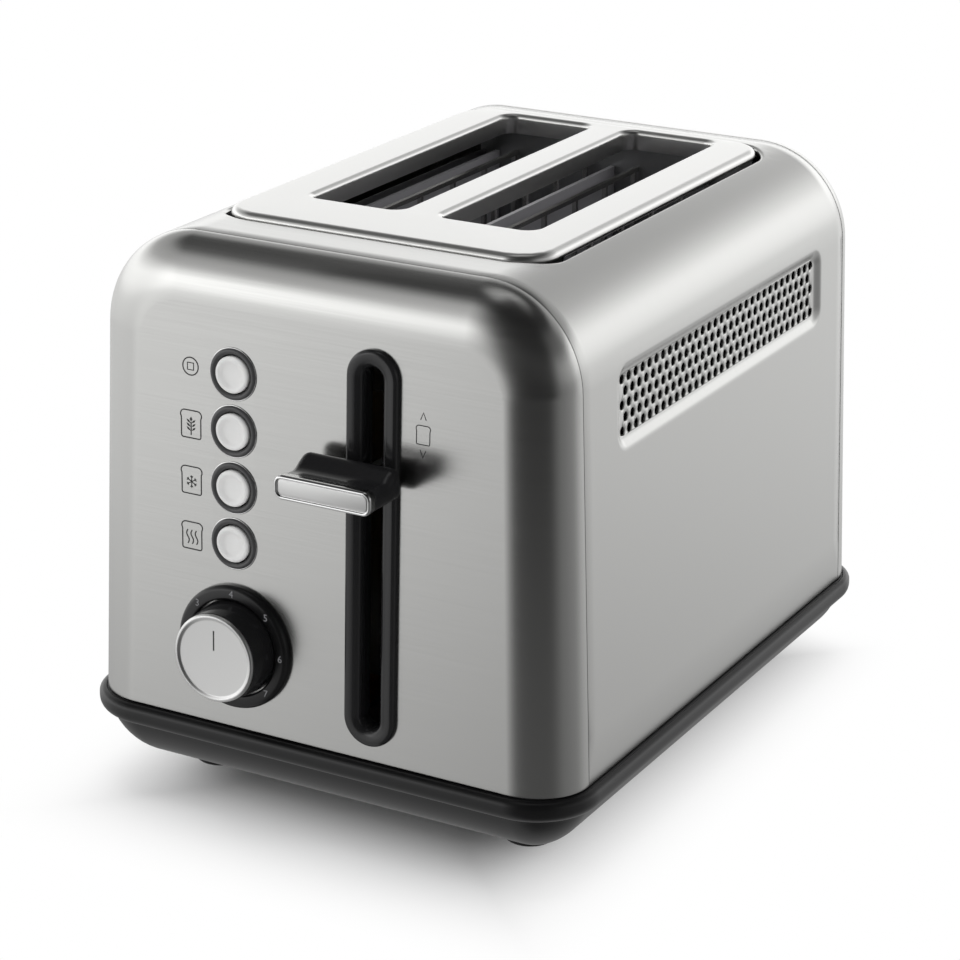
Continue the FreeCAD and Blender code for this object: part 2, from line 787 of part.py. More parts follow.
tub_form = tub_shell("tub_form", False)
rim = tub_outline(tub_form, "rim_bottom", "rim_width / 2", "rim_length / 2", "rim_corner")
pad(tub_form, rim, "rim_top - rim_bottom")
rim_level = number("rim_top - fit_gap")
bevel(tub_form, "rim_edge", lambda edge: edge.BoundBox.ZMin > rim_level)
upstand = tub_outline(tub_form, "rim_top", "upstand_width / 2", "upstand_length / 2", "upstand_corner", stepped)
pad(tub_form, upstand, "upstand_height")
well = tub_outline(tub_form, "ledge_z", "upstand_width / 2 - upstand_wall", "upstand_length / 2 - upstand_wall",
                   "upstand_corner - upstand_wall", stepped)
cut(tub_form, well, "rim_top + upstand_height - ledge_z")
ledge = "upstand_wall + ledge_width"
bottom_well = tub_outline(tub_form, "tub_floor", f"upstand_width / 2 - ({ledge})", f"upstand_length / 2 - ({ledge})",
                          f"upstand_corner - ({ledge})", stepped)
cut(tub_form, bottom_well, "ledge_z - tub_floor")
side_well = tub_outline(tub_form, "tub_floor + hollow_step", "tub_width / 2 - tub_wall", "tub_length / 2 - tub_wall",
                        "rim_corner - tub_inset - tub_wall", stepped)
cut(tub_form, side_well, "rim_bottom - tub_floor - hollow_step")

corners = [(side, end) for side in (-1, 1) for end in (-1, 1)]


def squares(body, z, width):
    """A small square in each corner of the base, where its screws stand."""
    sketch = new_sketch(body, "XY", z)
    for side, end in corners:
        x, y = f"{side} * (tub_width / 2 - screw_inset)", f"mid_y + {end} * (tub_length / 2 - screw_inset)"
        rectangle(sketch, f"{x} - {width} / 2", f"{x} + {width} / 2", f"{y} - {width} / 2", f"{y} + {width} / 2")
    return sketch


pad(tub_form, squares(tub_form, "tub_floor", "screw_post"), "ledge_z - tub_floor")
cut(tub_form, squares(tub_form, "tub_bottom", "screw_hole"), "ledge_z - tub_bottom")
window = new_sketch(tub_form, "XY", "tub_floor")
rectangle(window, "-tray_width / 2 - fit_gap", "tray_width / 2 + fit_gap", "tray_back - tub_wall", "rear_y + rim_overhang")
cut(tub_form, window, "tray_window_height")
sockets = [bar(f"{side} * foot_spacing_x / 2", f"mid_y + {end} * foot_spacing_y / 2", "0",
               "foot_radius + fit_gap", "tub_bottom + foot_socket", sides="round_sides") for side, end in corners]
inlet = bar("gland_x", "mid_y + tub_length / 2 - gland_length", "gland_z", "gland_radius + fit_gap",
            "2 * gland_length", True, "round_sides")
keep(minus(tub_form, *sockets, inlet), "base_tub")

feet = [bar(f"{side} * foot_spacing_x / 2", f"mid_y + {end} * foot_spacing_y / 2", "0",
            "foot_radius", "tub_bottom + foot_socket", sides="round_sides") for side, end in corners]
keep(together(*feet), "feet")


def base_screw(side, end):
    x, y = f"{side} * (tub_width / 2 - screw_inset)", f"mid_y + {end} * (tub_length / 2 - screw_inset)"
    head = bar(x, y, "tub_bottom - screw_head", "screw_radius", "screw_head")
    return fused(head, bar(x, y, "tub_bottom - screw_head / 2", "screw_shank / 2", "ledge_z - tub_bottom"))


keep(together(*[base_screw(*corner) for corner in corners]), "base_screws")

flange = bar("gland_x", "mid_y + tub_length / 2", "gland_z", "gland_radius + gland_lip", "gland_flange", True, "round_sides")
neck = bar("gland_x", "mid_y + tub_length / 2 + gland_flange - gland_length", "gland_z",
           "gland_radius", "gland_length", True, "round_sides")
bore = cylinder("gland_x", "mid_y + tub_length / 2 + gland_flange - gland_length", "gland_z",
                "gland_bore", "gland_length", True)
keep(minus(fused(flange, neck), bore), "cord_gland")


# Crumb tray: a shallow pan behind a front that follows the tub

def tray_box(inset, lift):
    return box(f"{inset} - tray_width / 2", f"tray_start + {inset}", f"tub_floor + fit_gap + {lift}",
               f"tray_width - 2 * {inset}", f"tray_back - tray_start - 2 * {inset}", "tray_height")


keep(minus(tray_box("0", "0"), tray_box("tray_wall", "tray_wall")), "crumb_tray_pan")
tray_window = box("-tray_width / 2", "tray_back", "tub_floor + fit_gap",
                  "tray_width", "tub_length", "tray_window_height - 2 * fit_gap")
tray_block = document.addObject("Part::Common", "tray_block")
tray_block.Base = tub_shell("tray_form", False)
tray_block.Tool = tray_window
grip = document.addObject("Part::Cylinder", "grip")
grip.Placement.Rotation = FreeCAD.Rotation(FreeCAD.Vector(0, 1, 0), 90)
bind(grip, "Radius", "tray_grip_radius")
bind(grip, "Height", "tray_grip_width")
set_down(grip, "-tray_grip_width / 2", "mid_y + tub_length / 2", "tub_floor + tray_window_height / 2")
keep(minus(tray_block, grip), "crumb_tray_front")


# Chassis plate and the two bulkheads that carry the heaters and the top plate

chassis = new_body("chassis_plate")
sheet = tub_outline(chassis, "ledge_z", "upstand_width / 2 - upstand_wall - fit_gap",
                    "upstand_length / 2 - upstand_wall - fit_gap", "upstand_corner - upstand_wall - fit_gap", stepped)
rectangle(sheet, "tray_wall - tray_width / 2", "tray_width / 2 - tray_wall", "slot_front", "slot_rear")
pad(chassis, sheet, "chassis_sheet")


def bulkhead(y, foot_y):
    """An upright sheet with a turned-out foot."""
    upright = box("-bulkhead_width / 2", y, "chassis_top", "bulkhead_width", "bulkhead_sheet",
                  "plate_under - fit_gap - chassis_top")
    foot = box("-bulkhead_width / 2", foot_y, "chassis_top", "bulkhead_width", "bulkhead_foot", "bulkhead_sheet")
    return fused(upright, foot)


def arm_slot(side):
    return box(f"{side} * slot_x - arm_width / 2 - arm_slot_gap", "front_bulkhead - bulkhead_sheet",
               "support_z - arm_height - lever_down - arm_slot_gap", "arm_width + 2 * arm_slot_gap",
               "3 * bulkhead_sheet", "arm_height + lever_down + lever_up + 2 * arm_slot_gap")


front_sheet = bulkhead("front_bulkhead", "front_bulkhead + bulkhead_sheet - bulkhead_foot")
keep(minus(front_sheet, arm_slot(-1), arm_slot(1)), "front_bulkhead")
keep(bulkhead("rear_bulkhead", "rear_bulkhead"), "rear_bulkhead")


# Heater boards with their ribbon windings, and the outer reflectors

def upright_sheet(x, thickness):
    return box(f"{x} - {thickness} / 2", "cage_front", "heater_bottom", thickness, "cage_length",
               "heater_top - heater_bottom")


heaters = (("heater_centre", "0"), ("heater_left", "-outer_heater_x"), ("heater_right", "outer_heater_x"))
for label, x in heaters:
    keep(upright_sheet(x, "heater_sheet"), label)


def ribbon(x, turn):
    return box(x, "cage_front + winding_margin",
               f"heater_bottom + ({turn} + 1) * (heater_top - heater_bottom) / (winding_turns + 1) - winding_width / 2",
               "winding_sheet", "cage_length - 2 * winding_margin", "winding_width")


ribbon_faces = ("heater_sheet / 2", "-heater_sheet / 2 - winding_sheet",
                "heater_sheet / 2 - outer_heater_x", "outer_heater_x - heater_sheet / 2 - winding_sheet")
ribbons = [ribbon(x, turn) for x in ribbon_faces for turn in range(int(number("winding_turns")))]
keep(together(*ribbons), "heater_windings")
keep(upright_sheet("-reflector_x", "reflector_sheet"), "side_reflector_left")
keep(upright_sheet("reflector_x", "reflector_sheet"), "side_reflector_right")


# Bread guards: wire grids that close on the bread from both sides

def guard(side, face):
    """One grid of upright wires between two rails; side picks the slot, face the side of the bread."""
    x = f"{side} * slot_x + {face} * guard_offset - guard_wire / 2"
    pieces = [box(x, "cage_front", z, "guard_wire", "cage_length", "guard_wire")
              for z in ("guard_bottom", "guard_top - guard_wire")]
    bars = int(number("guard_bars"))
    for place in range(bars):
        y = f"cage_front + guard_wire + {place} * (cage_length - 3 * guard_wire) / (guard_bars - 1)"
        pieces.append(box(x, y, "guard_bottom + guard_wire", "guard_wire", "guard_wire",
                          "guard_top - guard_bottom - 2 * guard_wire"))
    return fused(*pieces)


for side, side_name in ((-1, "left"), (1, "right")):
    for face, face_name in ((-1, "a"), (1, "b")):
        keep(guard(side, face), f"bread_guard_{side_name}_{face_name}")


# Lever, its stem and the carriage that lowers the bread

lever = new_body("lever_body")
lever_left, lever_right = "lever_x - lever_width / 2", "lever_x + lever_width / 2"
lever_low, lever_high = "lever_rest - lever_height / 2", "lever_rest + lever_height / 2"
outline = new_sketch(lever, "XZ", "-lever_rear")
stepped(outline, lever_left, lever_right, lever_low, lever_high, "lever_corner")
pad(lever, outline, "lever_rear - lever_front - lever_cap_depth")
ridge = new_sketch(lever, "XZ", "-lever_rear")
stepped(ridge, lever_left, lever_right, lever_low, f"{lever_high} + lever_ridge", "lever_corner")
pad(lever, ridge, "lever_ridge_depth")

lever_cap = new_body("lever_cap")
outline = new_sketch(lever_cap, "XZ", "-(lever_front + lever_cap_depth)")
stepped(outline, lever_left, lever_right, lever_low, lever_high, "lever_corner")
pad(lever_cap, outline, "lever_cap_depth")
cap_front = number("lever_front")
bevel(lever_cap, "lever_cap_edge", lambda edge: edge.BoundBox.YMax < cap_front + 0.01)

keep(box("bezel_x - stem_width / 2", "lever_rear", "lever_rest - stem_height / 2",
         "stem_width", "carriage_y - lever_rear", "stem_height"), "lever_stem")
plate = box("-carriage_width / 2", "carriage_y", "carriage_bottom", "carriage_width", "carriage_sheet", "carriage_height")
tab = box("spring_x - spring_hook", "carriage_y", "carriage_bottom", "2 * spring_hook",
          "spring_y + spring_hook - carriage_y", "carriage_sheet")
keep(fused(plate, tab), "carriage_plate")


def support(side):
    """A thin arm that runs under the slot, with short cross bars that carry the bread."""
    length = "slot_rear - bulkhead_margin - carriage_rear"
    arm = box(f"{side} * slot_x - arm_width / 2", "carriage_rear", "support_z - arm_height",
              "arm_width", length, "arm_height")
    pieces = [arm]
    for place in range(int(number("support_bars"))):
        y = f"slot_front + ({place} + 0.5) * slot_length / support_bars - arm_width / 2"
        pieces.append(box(f"{side} * slot_x - support_width / 2", y, "support_z - support_sheet",
                          "support_width", "arm_width", "support_sheet"))
    return fused(*pieces)


keep(support(-1), "bread_support_left")
keep(support(1), "bread_support_right")

bush_block = box("guide_x - guide_radius - bush_wall", "carriage_rear", "carriage_bottom",
                 "2 * (guide_radius + bush_wall)", "guide_y + guide_radius + bush_wall - carriage_rear", "bush_height")
bore = cylinder("guide_x", "guide_y", "carriage_bottom", "guide_radius + guide_clearance", "bush_height")
keep(minus(bush_block, bore), "carriage_bush")
keep(box("magnet_x - magnet_width / 2", "carriage_y - magnet_depth / 2", "carriage_bottom - armature_sheet",
         "magnet_width", "magnet_depth", "armature_sheet"), "armature_plate")

keep(cylinder("guide_x", "guide_y", "chassis_top", "guide_radius", "guide_top - chassis_top"), "guide_rod")
hanger_left, hanger_right = "spring_x - spring_radius - spring_wire", "guide_x + guide_radius + bush_wall"
shelf = box(hanger_left, "spring_y - spring_radius", "guide_top", f"{hanger_right} - ({hanger_left})",
            "front_bulkhead - spring_y + spring_radius", "bracket_sheet")
wall = box(hanger_left, "front_bulkhead - bracket_sheet", "guide_top", f"{hanger_right} - ({hanger_left})",
           "bracket_sheet", "heater_foot")
keep(fused(shelf, wall), "guide_bracket")

core_back = box("magnet_x - magnet_width / 2", "carriage_y - magnet_depth / 2", "chassis_top",
                "magnet_width", "magnet_depth", "armature_sheet")
core_post = box("magnet_x - magnet_width / 4", "carriage_y - magnet_depth / 4", "chassis_top",
                "magnet_width / 2", "magnet_depth / 2", "magnet_height")
keep(fused(core_back, core_post), "magnet_core")
coil_block = box("magnet_x - magnet_width / 2", "carriage_y - magnet_depth / 2", "chassis_top + armature_sheet",
                 "magnet_width", "magnet_depth", "magnet_height - 2 * armature_sheet")
coil_space = box("magnet_x - magnet_width / 4", "carriage_y - magnet_depth / 4", "chassis_top",
                 "magnet_width / 2", "magnet_depth / 2", "magnet_height")
keep(minus(coil_block, coil_space), "magnet_coil")


def spring_path():
    """A coarse helix up from the carriage tab to the hanger."""
    low, high = number("carriage_bottom + carriage_sheet + spring_wire / 2"), number("guide_top - spring_wire / 2")
    radius, coils, steps = number("spring_radius"), int(number("spring_coils")), 6
    middle = FreeCAD.Vector(number("spring_x"), number("spring_y"), 0)
    count = coils * steps
    return [middle + FreeCAD.Vector(radius * math.cos(2 * math.pi * i / steps), radius * math.sin(2 * math.pi * i / steps),
                                    low + (high - low) * i / count) for i in range(count + 1)]


route = document.addObject("Part::Polygon", "spring_route")
route.Nodes = spring_path()
wire = document.addObject("Part::RegularPolygon", "spring_wire")
wire.Polygon = 4
bind(wire, "Circumradius", "spring_wire / 2")
wire.Placement = FreeCAD.Placement(route.Nodes[0], FreeCAD.Rotation(FreeCAD.Vector(0, 0, 1), route.Nodes[1] - route.Nodes[0]))
spring = document.addObject("Part::Sweep", "lift_spring")
spring.Sections = [wire]
spring.Spine = route
spring.Solid = True
spring.Transition = "Right corner"
keep(spring, "lift_spring")


# Front controls, modelled on an upright face and then set against the leaning panel

bezel = new_body("slot_bezel")
low, high = "bezel_bottom - steel_bottom", "bezel_top - steel_bottom"
outline = new_sketch(bezel, "XZ")
stadium(outline, "bezel_x", low, high, "bezel_width")
pad(bezel, outline, "bezel_proud")
bezel_front = -number("bezel_proud")
bevel(bezel, "bezel_edge", lambda edge: edge.BoundBox.YMax < bezel_front + 0.01)
outline = new_sketch(bezel, "XZ")
stadium(outline, "bezel_x", f"{low} + bezel_rim - bezel_sleeve_wall", f"{high} - bezel_rim + bezel_sleeve_wall",
        "bezel_slot + 2 * bezel_sleeve_wall")
pad(bezel, outline, "end_wall + bezel_sleeve", back=True)
outline = new_sketch(bezel, "XZ", "bezel_proud")
stadium(outline, "bezel_x", f"{low} + bezel_rim", f"{high} - bezel_rim", "bezel_slot")
cut(bezel, outline, "bezel_proud + end_wall + bezel_sleeve", back=True)
on_panel(bezel)


def button_ring(row):
    z = button_z(row)
    depth = "ring_proud + end_wall + ring_sleeve"
    collar = bar("button_x", "-ring_proud", z, "ring_bore + ring_width", "ring_proud", True, "round_sides")
    tube = bar("button_x", "-ring_proud", z, "ring_bore + ring_sleeve_wall", depth, True, "round_sides")
    hole = bar("button_x", "-ring_proud", z, "ring_bore", depth, True, "round_sides")
    return minus(fused(collar, tube), hole)


keep(on_panel(together(*[button_ring(row) for row in button_rows])), "button_rings")


def button(row):
    """A cap with a dished face on a plunger that stops short of its switch."""
    z = button_z(row)
    cap = bar("button_x", "-button_proud", z, "button_radius", "button_depth", True, "round_sides")
    dish = bar("button_x", "-button_proud", z, "button_radius - button_rim", "button_dish", True, "round_sides")
    plunger = bar("button_x", "0", z, "button_stem", "board_back - switch_depth - button_travel - fit_gap", True)
    return on_panel(minus(fused(cap, plunger), dish))


for row, name in zip(button_rows, ("stop", "grain", "defrost", "reheat")):
    keep(button(row), f"{name}_button")

dial_z = "dial_z - steel_bottom"
foot = bar("dial_x", "-dial_ring_proud + dial_ring_edge", dial_z, "dial_ring_radius",
           "dial_ring_proud - dial_ring_edge", True, "dial_sides")
slope = taper("dial_x", "-dial_ring_proud", dial_z, "dial_ring_radius - dial_ring_edge", "dial_ring_radius",
              "dial_ring_edge", "dial_sides")
hole = bar("dial_x", "-dial_ring_proud", dial_z, "knob_bore", "dial_ring_proud", True, "dial_sides")
keep(on_panel(minus(fused(foot, slope), hole)), "dial_ring")

knob = taper("dial_x", "knob_cap_depth - knob_reach", dial_z, "knob_radius", "knob_root",
             "knob_reach - knob_cap_depth - knob_gap", "dial_sides")
keep(on_panel(knob), "knob_body")
disc = bar("dial_x", "-knob_reach", dial_z, "knob_radius", "knob_cap_depth", True, "dial_sides")
dish = bar("dial_x", "-knob_reach", dial_z, "knob_radius - knob_rim", "knob_dish", True, "dial_sides")
keep(on_panel(minus(disc, dish)), "knob_cap")
keep(on_panel(cylinder("dial_x", "-knob_gap", dial_z, "shaft_radius", "knob_gap + shaft_depth", True)), "knob_shaft")

pot = box("dial_x - pot_size / 2", "board_back - pot_depth", f"{dial_z} - pot_size / 2", "pot_size", "pot_depth", "pot_size")
pot_bore = cylinder("dial_x", "board_back - pot_depth", dial_z, "shaft_radius + guide_clearance",
                    "shaft_depth + fit_gap - board_back + pot_depth", True)
keep(on_panel(minus(pot, pot_bore)), "dial_potentiometer")

board_low, board_high = f"{dial_z} - pot_size / 2 - board_margin", f"{button_z(0)} + board_margin"
keep(on_panel(box("button_x - board_width / 2", "board_back", board_low, "board_width", "board_sheet",
                  f"{board_high} - ({board_low})")), "control_board")
switches = [box("button_x - switch_size / 2", "board_back - switch_depth", f"{button_z(row)} - switch_size / 2",
                "switch_size", "switch_depth", "switch_size") for row in button_rows]
keep(on_panel(together(*switches)), "button_switches")
posts = [box(f"button_x + {side} * (board_width - post_width) / 2 - post_width / 2", "end_wall", z,
             "post_width", "board_back - end_wall", "post_width")
         for side in (-1, 1) for z in (board_low, f"{board_high} - post_width")]
keep(on_panel(together(*posts)), "board_posts")

keep(box("terminal_x - terminal_width / 2", "rear_bulkhead + heater_foot + fit_gap", "chassis_top",
         "terminal_width", "terminal_depth", "terminal_height"), "terminal_block")


# Check every piece, then write one file for each

document.recompute()
faulty = [item.Name for item in document.Objects if "Invalid" in item.State or "Error" in item.State]
if faulty:
    raise RuntimeError("objects with an error: " + ", ".join(faulty))
for piece in sub_parts:
    if piece.Shape.isNull() or not piece.Shape.isValid() or not piece.Shape.Solids:
        raise RuntimeError("no valid solid in " + piece.Label)

os.makedirs("parts", exist_ok=True)
for piece in sub_parts:
    piece.Shape.exportStep(f"parts/{piece.Label}.step")
print(len(sub_parts), "sub-parts written")
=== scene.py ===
import bpy
import bmesh
import json
import math
from mathutils import Matrix, Vector
from mathutils.geometry import delaunay_2d_cdt


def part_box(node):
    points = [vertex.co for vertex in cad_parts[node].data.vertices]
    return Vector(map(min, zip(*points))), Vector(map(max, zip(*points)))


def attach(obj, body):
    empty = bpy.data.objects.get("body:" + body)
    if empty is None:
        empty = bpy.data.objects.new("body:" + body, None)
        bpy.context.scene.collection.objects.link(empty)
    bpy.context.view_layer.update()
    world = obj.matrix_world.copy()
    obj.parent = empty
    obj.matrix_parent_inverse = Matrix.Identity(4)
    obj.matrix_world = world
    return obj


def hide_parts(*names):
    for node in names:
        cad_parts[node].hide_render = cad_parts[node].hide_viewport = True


# Two-slice toaster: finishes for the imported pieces, and finer shells over those that show
# Lengths are in millimetres until a mesh is made.
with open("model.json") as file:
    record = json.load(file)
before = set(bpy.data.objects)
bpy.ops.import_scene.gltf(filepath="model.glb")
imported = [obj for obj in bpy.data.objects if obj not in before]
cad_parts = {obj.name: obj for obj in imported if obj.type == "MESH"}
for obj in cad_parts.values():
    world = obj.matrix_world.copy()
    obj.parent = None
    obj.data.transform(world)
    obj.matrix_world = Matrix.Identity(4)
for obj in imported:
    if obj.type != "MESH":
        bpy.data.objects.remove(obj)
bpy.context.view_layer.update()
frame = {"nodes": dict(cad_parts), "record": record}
nodes = frame["nodes"]
mm = 0.001


def boxOf(node):
    low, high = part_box(node)
    return low / mm, high / mm


steelLow, steelHigh = boxOf("cover")
plateLow, plateHigh = boxOf("top_plate")
baseLow, baseHigh = boxOf("base_tub")

# What the whole body shares
body = {
    "halfWidth": steelHigh.x,
    "bottom": steelLow.z,
    "top": steelHigh.z,
    "sideLean": math.radians(2.2),
    "endLean": math.radians(1.64),
    "shoulder": 34.0,    # radius of the bend from side to top
    "wall": 0.8,
    "endWall": 1.2,
    "holeEdge": 0.4,     # rounding of the holes in the front
    "endWrap": 18.7,     # how far an end panel curves back from its face to the seam
    "endInset": 20.0,    # and how far it draws in on the way
    "bendSteps": 28,
    "archSteps": 22,
    "wrapSteps": 26,
}
frontY = boxOf("front_panel")[0].y
rearY = boxOf("rear_panel")[1].y
midY = (frontY + rearY) / 2
seamY = (rearY - frontY) / 2 - body["endWrap"]
print("frame read")


# Small tools for meshes

def toWorld(points):
    return [Vector(point) * mm for point in points]


def showPiece(name, vertices, faces, material, rides="housing", smooth=True):
    mesh = bpy.data.meshes.new(name)
    mesh.from_pydata(toWorld(vertices), [], faces)
    mesh.materials.append(material)
    mesh.polygons.foreach_set("use_smooth", [smooth] * len(mesh.polygons))
    obj = bpy.data.objects.new(name, mesh)
    bpy.context.scene.collection.objects.link(obj)
    closeSeams(obj)
    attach(obj, rides)
    return obj


# Joins points that coincide and turns all faces outward
def closeSeams(obj, reach=0.002):
    work = bmesh.new()
    work.from_mesh(obj.data)
    bmesh.ops.remove_doubles(work, verts=work.verts, dist=reach * mm)
    bmesh.ops.recalc_face_normals(work, faces=work.faces)
    work.to_mesh(obj.data)
    work.free()


def thicken(obj, wall):
    step = obj.modifiers.new("wall", "SOLIDIFY")
    step.thickness = wall * mm
    step.offset = -1
    step.use_even_offset = True


def softenEdges(obj, width, angle=50, segments=3):
    step = obj.modifiers.new("edges", "BEVEL")
    step.width = width * mm
    step.segments = segments
    step.limit_method = "ANGLE"
    step.angle_limit = math.radians(angle)
    evenNormals(obj)


# Lets the large faces decide the shading, so that flats stay flat beside a round edge
def evenNormals(obj):
    step = obj.modifiers.new("normals", "WEIGHTED_NORMAL")
    step.weight = 80
    step.keep_sharp = True


# Faces that join rings of equal point counts
def sweep(rings, closed=True, capFirst=False, capLast=False):
    vertices = [point for ring in rings for point in ring]
    count = len(rings[0])
    faces = []
    last = count if closed else count - 1
    for level in range(len(rings) - 1):
        below, above = level * count, (level + 1) * count
        for i in range(last):
            j = (i + 1) % count
            faces.append((below + i, below + j, above + j, above + i))
    if capFirst:
        faces.append(tuple(range(count)))
    if capLast:
        faces.append(tuple(range(len(vertices) - 1, len(vertices) - count - 1, -1)))
    return vertices, faces


def closedSweep(rings):
    return sweep(rings, capFirst=True, capLast=True)


def arcPoints(x, y, radius, start, turn, steps):
    turns = [math.radians(start + turn * i / steps) for i in range(steps + 1)]
    return [(x + radius * math.cos(a), y + radius * math.sin(a)) for a in turns]


def roundedLoop(x0, x1, y0, y1, radius, steps=10):
    points = []
    for x, y, start in ((x1 - radius, y0 + radius, -90), (x1 - radius, y1 - radius, 0),
                        (x0 + radius, y1 - radius, 90), (x0 + radius, y0 + radius, 180)):
        points += arcPoints(x, y, radius, start, 90, steps)
    return points


def insetBox(low, high, inset, corner, steps):
    return roundedLoop(low.x + inset, high.x - inset, low.y + inset, high.y - inset, corner, steps)


def stadiumLoop(x, low, high, half, steps=20):
    return arcPoints(x, high - half, half, 0, 180, steps) + arcPoints(x, low + half, half, 180, 180, steps)


def circleLoop(x, y, radius, steps=48):
    return arcPoints(x, y, radius, 0, 360, steps)[:-1]


# The loop's points with others between them, at most one step apart
def spaced(loop, step):
    points = []
    for (x0, y0), (x1, y1) in zip(loop, loop[1:] + loop[:1]):
        count = max(1, math.ceil(math.hypot(x1 - x0, y1 - y0) / step))
        points += [(x0 + (x1 - x0) * i / count, y0 + (y1 - y0) * i / count) for i in range(count)]
    return points


def insideLoop(point, loop):
    x, y = point
    inside = False
    for (x0, y0), (x1, y1) in zip(loop, loop[1:] + loop[:1]):
        if (y0 > y) != (y1 > y) and x < x0 + (y - y0) * (x1 - x0) / (y1 - y0):
            inside = not inside
    return inside


# Triangles between an outline and its holes; dots are extra points that follow a bend
def fillFlat(outline, holes, dots=()):
    points, edges = [], []
    for loop in [outline, *holes]:
        start = len(points)
        points += loop
        edges += [(start + i, start + (i + 1) % len(loop)) for i in range(len(loop))]
    points += dots
    flat = [Vector(point) for point in points]
    flatPoints, _, triangles, *_ = delaunay_2d_cdt(flat, edges, [], 0, 1e-5)
    kept = []
    for triangle in triangles:
        middle = sum((flatPoints[i] for i in triangle), Vector((0, 0))) / 3
        if insideLoop(middle, outline) and not any(insideLoop(middle, hole) for hole in holes):
            kept.append(tuple(triangle))
    return [tuple(point) for point in flatPoints], kept


def joinMeshes(parts):
    vertices, faces = [], []
    for points, polygons in parts:
        start = len(vertices)
        vertices += points
        faces += [tuple(start + i for i in polygon) for polygon in polygons]
    return vertices, faces


# A round edge as (inset, drop) pairs from the side up to the top face
def quarterTurn(size, steps=6):
    turns = [math.pi / 2 * i / steps for i in range(steps + 1)]
    return [(size * (1 - math.cos(turn)), size * (1 - math.sin(turn))) for turn in turns]


# Level rings from a loop of some inset at some height
def levelRings(loopAt, profile):
    return [[(x, y, z) for x, y in loopAt(inset)] for inset, z in profile]


def upright(x, y, steps):
    return lambda radius: circleLoop(x, y, radius, steps)


# Cuts closed blocks out of a closed piece and keeps only the result
def cutWith(obj, cutters):
    for cutter in cutters:
        step = obj.modifiers.new("cut", "BOOLEAN")
        step.operation = "DIFFERENCE"
        step.solver = "EXACT"
        step.object = cutter
    graph = bpy.context.evaluated_depsgraph_get()
    mesh = bpy.data.meshes.new_from_object(obj.evaluated_get(graph))
    obj.modifiers.clear()
    obj.data = mesh
    for cutter in cutters:
        bpy.data.objects.remove(cutter)


def blockCutter(low, high):
    xs, ys, zs = zip(low, high)
    vertices = [(x, y, z) for x in xs for y in ys for z in zs]
    faces = [(0, 1, 3, 2), (4, 6, 7, 5), (0, 4, 5, 1), (2, 3, 7, 6), (0, 2, 6, 4), (1, 5, 7, 3)]
    return makeCutter(vertices, faces)


def makeCutter(vertices, faces):
    mesh = bpy.data.meshes.new("cutter")
    mesh.from_pydata(toWorld(vertices), [], faces)
    obj = bpy.data.objects.new("cutter", mesh)
    bpy.context.scene.collection.objects.link(obj)
    return obj


# The leaning front panel has a frame of its own: x across, y out of the panel when negative,
# and z up the panel from the steel's lower edge
def onPanel(point):
    x, y, z = point
    sine, cosine = math.sin(body["endLean"]), math.cos(body["endLean"])
    return (x, frontY + y * cosine + z * sine, body["bottom"] - y * sine + z * cosine)


def panelSweep(rings, capped=False):
    vertices, faces = sweep(rings, capFirst=capped, capLast=capped)
    return [onPanel(point) for point in vertices], faces


# A turned piece about an axis square to the front panel, from (radius, y) pairs
def lathe(centreX, centreZ, profile, steps=64, capped=False):
    rings = [[(x, y, z) for x, z in circleLoop(centreX, centreZ, radius, steps)] for radius, y in profile]
    return panelSweep(rings, capped)


def fromEdge(edge, pairs):
    return [(edge + out, y) for out, y in pairs]


# Materials

def colour(code):
    channels = [int(code[i:i + 2], 16) / 255 for i in (1, 3, 5)]
    linear = [c / 12.92 if c <= 0.04045 else ((c + 0.055) / 1.055) ** 2.4 for c in channels]
    return (*linear, 1.0)


# A node with its properties or inputs set, and its inputs fed from other sockets
def addNode(tree, kind, settings=None, links=None):
    node = tree.nodes.new(kind)
    for key, value in (settings or {}).items():
        if isinstance(key, str) and hasattr(node, key):
            setattr(node, key, value)
        else:
            node.inputs[key].default_value = value
    for key, socket in (links or {}).items():
        tree.links.new(socket, node.inputs[key])
    return node


def addMath(tree, operation, first, second=None):
    settings, links = {"operation": operation}, {0: first}
    if isinstance(second, float):
        settings[1] = second
    elif second is not None:
        links[1] = second
    return addNode(tree, "ShaderNodeMath", settings, links).outputs[0]


def newMaterial(name, hexCode, **settings):
    material = bpy.data.materials.new(name)
    material.use_nodes = True
    shader = material.node_tree.nodes["Principled BSDF"]
    shader.inputs["Base Color"].default_value = colour(hexCode)
    for key, value in settings.items():
        shader.inputs[key].default_value = value
    material.diffuse_color = colour(hexCode)
    return material, material.node_tree, shader


def addRelief(tree, shader, height, strength, depth):
    relief = addNode(tree, "ShaderNodeBump", {"Strength": strength, "Distance": depth}, {"Height": height})
    tree.links.new(relief.outputs["Normal"], shader.inputs["Normal"])


